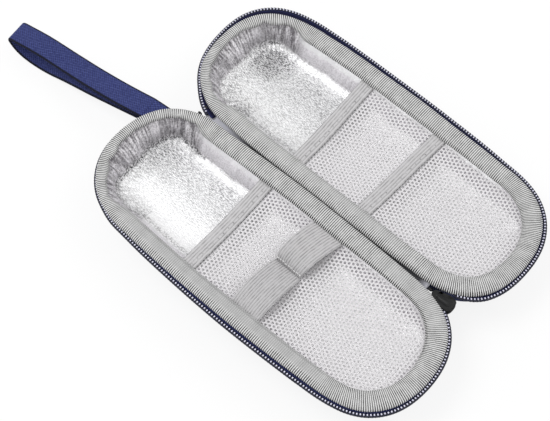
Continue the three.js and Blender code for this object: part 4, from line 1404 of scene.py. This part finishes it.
STOP_SIZE = (1.3, 2.3, 1.3)
STOPS = {
    "base_zipper_top_stop": ("base", (36.55, 77.4, 24.8)),
    "lid_zipper_top_stop": ("lid", (40.9, 77.4, 24.9)),
    "zipper_bottom_stop": ("base", (38.9, -71.6, 24.2)),
}


def make_stop(node, body, middle):
    mesh = bmesh.new()
    wide, long, high = (size / 2 for size in STOP_SIZE)
    outline = round_outline([(wide, -long), (wide, long), (-wide, long), (-wide, -long)], 2)
    add_plate(mesh, outline, placer(middle, LYING), -high, high, 0.25)
    return seat(metal_object(f"{node}_clip", mesh, stop_look), body, "black_metal", node)


# Spine: light ribbon between the rims, dark cloth between the shells

SPINE_FIRST_Y = -69.9
RIBBON_LAST_Y = 74.7
RIBBON_DIP = 2.0
CLOTH_LAST_Y = 75.5


def spine_edge(y, x):
    """Where the rim of the half at x faces the spine."""
    facing = fine_rim.outward[:, 0] * (-1 if x else 1) > 0.2
    outline = fine_rim.ring(0.0, 0.0, x)[facing]
    order = np.argsort(outline[:, 1])
    return np.interp(y, outline[order, 1], outline[order, 0])


def spine_strip(name, first_y, last_y, top, reach, drop, thickness, look, ripple):
    """Cloth hanging between the halves, its edges reach beyond the gap on both sides."""
    y = np.linspace(first_y, last_y, 120)
    top = top - RIBBON_DIP * (1 - smooth_share(y, 52.0, 70.0) - smooth_share(-y, 62.0, 69.5))
    wave = ripple * (np.sin(0.9 * y) + 0.6 * np.sin(1.7 * y + 1.0))
    left, right = spine_edge(y, 0.0), spine_edge(y, LID_X)
    rows = []
    steps = 14
    for side in (0.0, 1.0):
        angles = [math.pi * (1 + k / steps) for k in range(steps + 1)]
        for angle in angles if side == 0.0 else reversed(angles):
            half_span = (right - left) / 2 + reach - side * thickness
            x = (left + right) / 2 + half_span * math.cos(angle)
            z = RIM_Z + top + (drop - side * thickness + wave) * math.sin(angle)
            rows.append(np.column_stack([x, y, z]))
    return outward(grid(name, np.array(rows), look, y - y[0], True, caps=True))


def make_spine():
    """The ribbon between the rims and the outer cloth between the shells, in place of their nodes."""
    ribbon = spine_strip("spine_ribbon_cloth", SPINE_FIRST_Y, RIBBON_LAST_Y,
                         -1.6, 1.0, 2.4, 0.5, ribbon_look, 0.05)
    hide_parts("spine_inner_ribbon")
    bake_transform(ribbon)
    cloth = spine_strip("spine_outer_cloth", SPINE_FIRST_Y, CLOTH_LAST_Y,
                        -5.0, 2.2, 3.4, 0.8, shell_look, 0.08)
    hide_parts("spine_outer_fabric")
    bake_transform(cloth)


# Wrist strap: one length of webbing, folded at its far end, both ends sewn under the rim

STRAP_THICKNESS = 1.3
STRAP_ROOT = (22.5, 100.11)
STRAP_TURN = math.radians(6.5)
STRAP_AHEAD = np.array([-math.sin(STRAP_TURN), math.cos(STRAP_TURN), 0.0])
STRAP_SIDE = np.array([math.cos(STRAP_TURN), math.sin(STRAP_TURN), 0.0])
STRAP_LOWER = [(0.0, 19.9), (18.0, 16.1), (36.0, 10.4), (54.0, 4.7), (66.0, 1.5), (74.0, 0.75), (80.0, 1.1)]
STRAP_FOLD = [(85.2, 2.7), (89.0, 5.8), (91.1, 9.3), (91.8, 11.3), (91.0, 12.6)]
STRAP_UPPER = [(85.0, 13.9), (72.0, 15.7), (54.0, 15.6), (36.0, 17.9), (18.0, 20.8), (0.0, 22.9)]
STRAP_DRIFT = [(0.0, -0.57), (18.0, -0.91), (36.0, -0.26), (54.0, 0.7), (72.0, 0.8), (97.0, 1.0)]
STRAP_SEWN_LENGTH = 10.5
STRAP_SEWN_SHEAR = 0.908


def smooth_line(guide, count):
    """Evenly spaced points on a smooth curve through the guide's points."""
    guide = np.asarray(guide, float)
    ends = np.vstack([2 * guide[0] - guide[1], guide, 2 * guide[-1] - guide[-2]])
    knots = np.concatenate(([0.0], np.cumsum(np.linalg.norm(np.diff(ends, axis=0), axis=1) ** 0.5)))
    points = []
    for i in range(1, len(ends) - 2):
        t0, t1, t2, t3 = knots[i - 1:i + 3]
        for t in np.linspace(t1, t2, 40, endpoint=False):
            a1 = ends[i - 1] * (t1 - t) / (t1 - t0) + ends[i] * (t - t0) / (t1 - t0)
            a2 = ends[i] * (t2 - t) / (t2 - t1) + ends[i + 1] * (t - t1) / (t2 - t1)
            a3 = ends[i + 1] * (t3 - t) / (t3 - t2) + ends[i + 2] * (t - t2) / (t3 - t2)
            b1 = a1 * (t2 - t) / (t2 - t0) + a2 * (t - t0) / (t2 - t0)
            b2 = a2 * (t3 - t) / (t3 - t1) + a3 * (t - t1) / (t3 - t1)
            points.append(b1 * (t2 - t) / (t2 - t1) + b2 * (t - t1) / (t2 - t1))
    points.append(guide[-1])
    points = np.array(points)
    lengths = distances(points)
    even = np.linspace(0, lengths[-1], count)
    return np.column_stack([np.interp(even, lengths, points[:, k]) for k in range(points.shape[1])])


def strap_frame(path):
    """Centre, across and up of a band whose path is [along, height] on the strap's line."""
    sway = smooth_line(STRAP_DRIFT, 80)
    aside = np.interp(path[:, 0], sway[:, 0], sway[:, 1])
    centre = np.outer(path[:, 0], STRAP_AHEAD) + np.outer(aside, STRAP_SIDE)
    centre += [STRAP_ROOT[0], STRAP_ROOT[1], 0.0]
    centre[:, 2] = path[:, 1]
    slope = np.gradient(path, axis=0)
    slope /= np.linalg.norm(slope, axis=1, keepdims=True)
    up = -np.outer(slope[:, 1], STRAP_AHEAD)
    up[:, 2] = slope[:, 0]
    return centre, np.tile(STRAP_SIDE, (len(path), 1)), up


def make_strap():
    path = strap_frame(smooth_line(STRAP_LOWER + STRAP_FOLD + STRAP_UPPER, 320))
    widths = np.full(320, STRAP_WIDTH)
    piece = band("wrist_strap_webbing", path, widths, STRAP_THICKNESS, webbing_look, 20)
    seat(piece, "strap", "navy_webbing", "wrist_strap")
    meet = (STRAP_LOWER[0][1] + STRAP_UPPER[-1][1]) / 2
    for index, root_z in enumerate((STRAP_LOWER[0][1], STRAP_UPPER[-1][1])):
        join = meet + (root_z - meet) * 0.45
        guide = [(0.4, root_z), (-3.5, root_z * 0.6 + join * 0.4), (-7.5, join), (-STRAP_SEWN_LENGTH, join)]
        centre, across, up = strap_frame(smooth_line(guide, 24))
        across -= np.outer(np.linspace(0, STRAP_SEWN_SHEAR, 24), STRAP_AHEAD)
        layer = band(f"strap_sewn_layer_{index + 1}", (centre, across, up), np.full(24, STRAP_WIDTH - 0.1),
                     STRAP_THICKNESS - 0.1, webbing_look, 20)
        seat(layer, "base", "navy_webbing", *(["strap_sewn_end"] if index == 0 else []))


# Making of all the pieces

for half, x in HALVES.items():
    make_binding(half, x)
    make_foil(half, x)
    make_foam(half, x)
    make_shell(half, x)
make_zip("base", -79.93, 73.57, 78.6)
make_zip("lid", -82.7, 70.6, 73.9)
for node, (half, top_y, low_y, seed) in POCKETS.items():
    make_net(node, half, top_y, low_y, seed)
for node, (half, centre_y, slant, seed) in TRIMS.items():
    make_trim(node, half, centre_y, slant, seed)
make_pen_band()
make_pen_seam()
make_slider()
make_pull()
make_spine()
make_strap()
for node, (body, middle) in STOPS.items():
    make_stop(node, body, middle)


# Stage: pale floor, soft light

def make_stage():
    mesh = bpy.data.meshes.new("floor")
    size = 3.0
    corners = [(-size, -size, 0.0), (size, -size, 0.0), (size, size, 0.0), (-size, size, 0.0)]
    mesh.from_pydata(corners, [], [(0, 1, 2, 3)])
    n = Nodes("floor_paper", FLOOR_WHITE, 0.9)
    n.bump(n.noise(n.place(), 0.05), 0.05)
    seen = n.add("ShaderNodeLightPath").outputs["Is Camera Ray"]
    n.join(n.times(seen, FLOOR_GLOW), n.add("ShaderNodeEmission"))
    mesh.materials.append(n.material)
    floor = bpy.data.objects.new("floor", mesh)
    bpy.context.scene.collection.objects.link(floor)


def make_world():
    """A white world: rays that see it find it brighter than it lights."""
    world = bpy.data.worlds.new("studio")
    bpy.context.scene.world = world
    world.use_nodes = True
    tree = world.node_tree
    background = tree.nodes["Background"]
    paths = tree.nodes.new("ShaderNodeLightPath")
    seen = paths.outputs["Is Camera Ray"]
    for kind in ("Is Glossy Ray", "Is Transmission Ray"):
        either = tree.nodes.new("ShaderNodeMath")
        either.operation = "MAXIMUM"
        tree.links.new(seen, either.inputs[0])
        tree.links.new(paths.outputs[kind], either.inputs[1])
        seen = either.outputs[0]
    strength = tree.nodes.new("ShaderNodeMapRange")
    strength.inputs["To Min"].default_value = WORLD_LIGHT
    strength.inputs["To Max"].default_value = 1.0
    tree.links.new(seen, strength.inputs["Value"])
    tree.links.new(strength.outputs[0], background.inputs["Strength"])
    background.inputs["Color"].default_value = (1.0, 1.0, 1.0, 1.0)


def add_area(name, place, size, power):
    data = bpy.data.lights.new(name, "AREA")
    data.shape = "SQUARE"
    data.size = size
    data.energy = power
    light = bpy.data.objects.new(name, data)
    light.location = place
    aim = Vector(LAMP_TARGET) - Vector(place)
    light.rotation_euler = aim.to_track_quat("-Z", "Y").to_euler()
    bpy.context.scene.collection.objects.link(light)


make_stage()
make_world()
for name, (place, size, power) in LAMPS.items():
    add_area(name, place, size, power)
bpy.context.scene.view_settings.view_transform = "Standard"
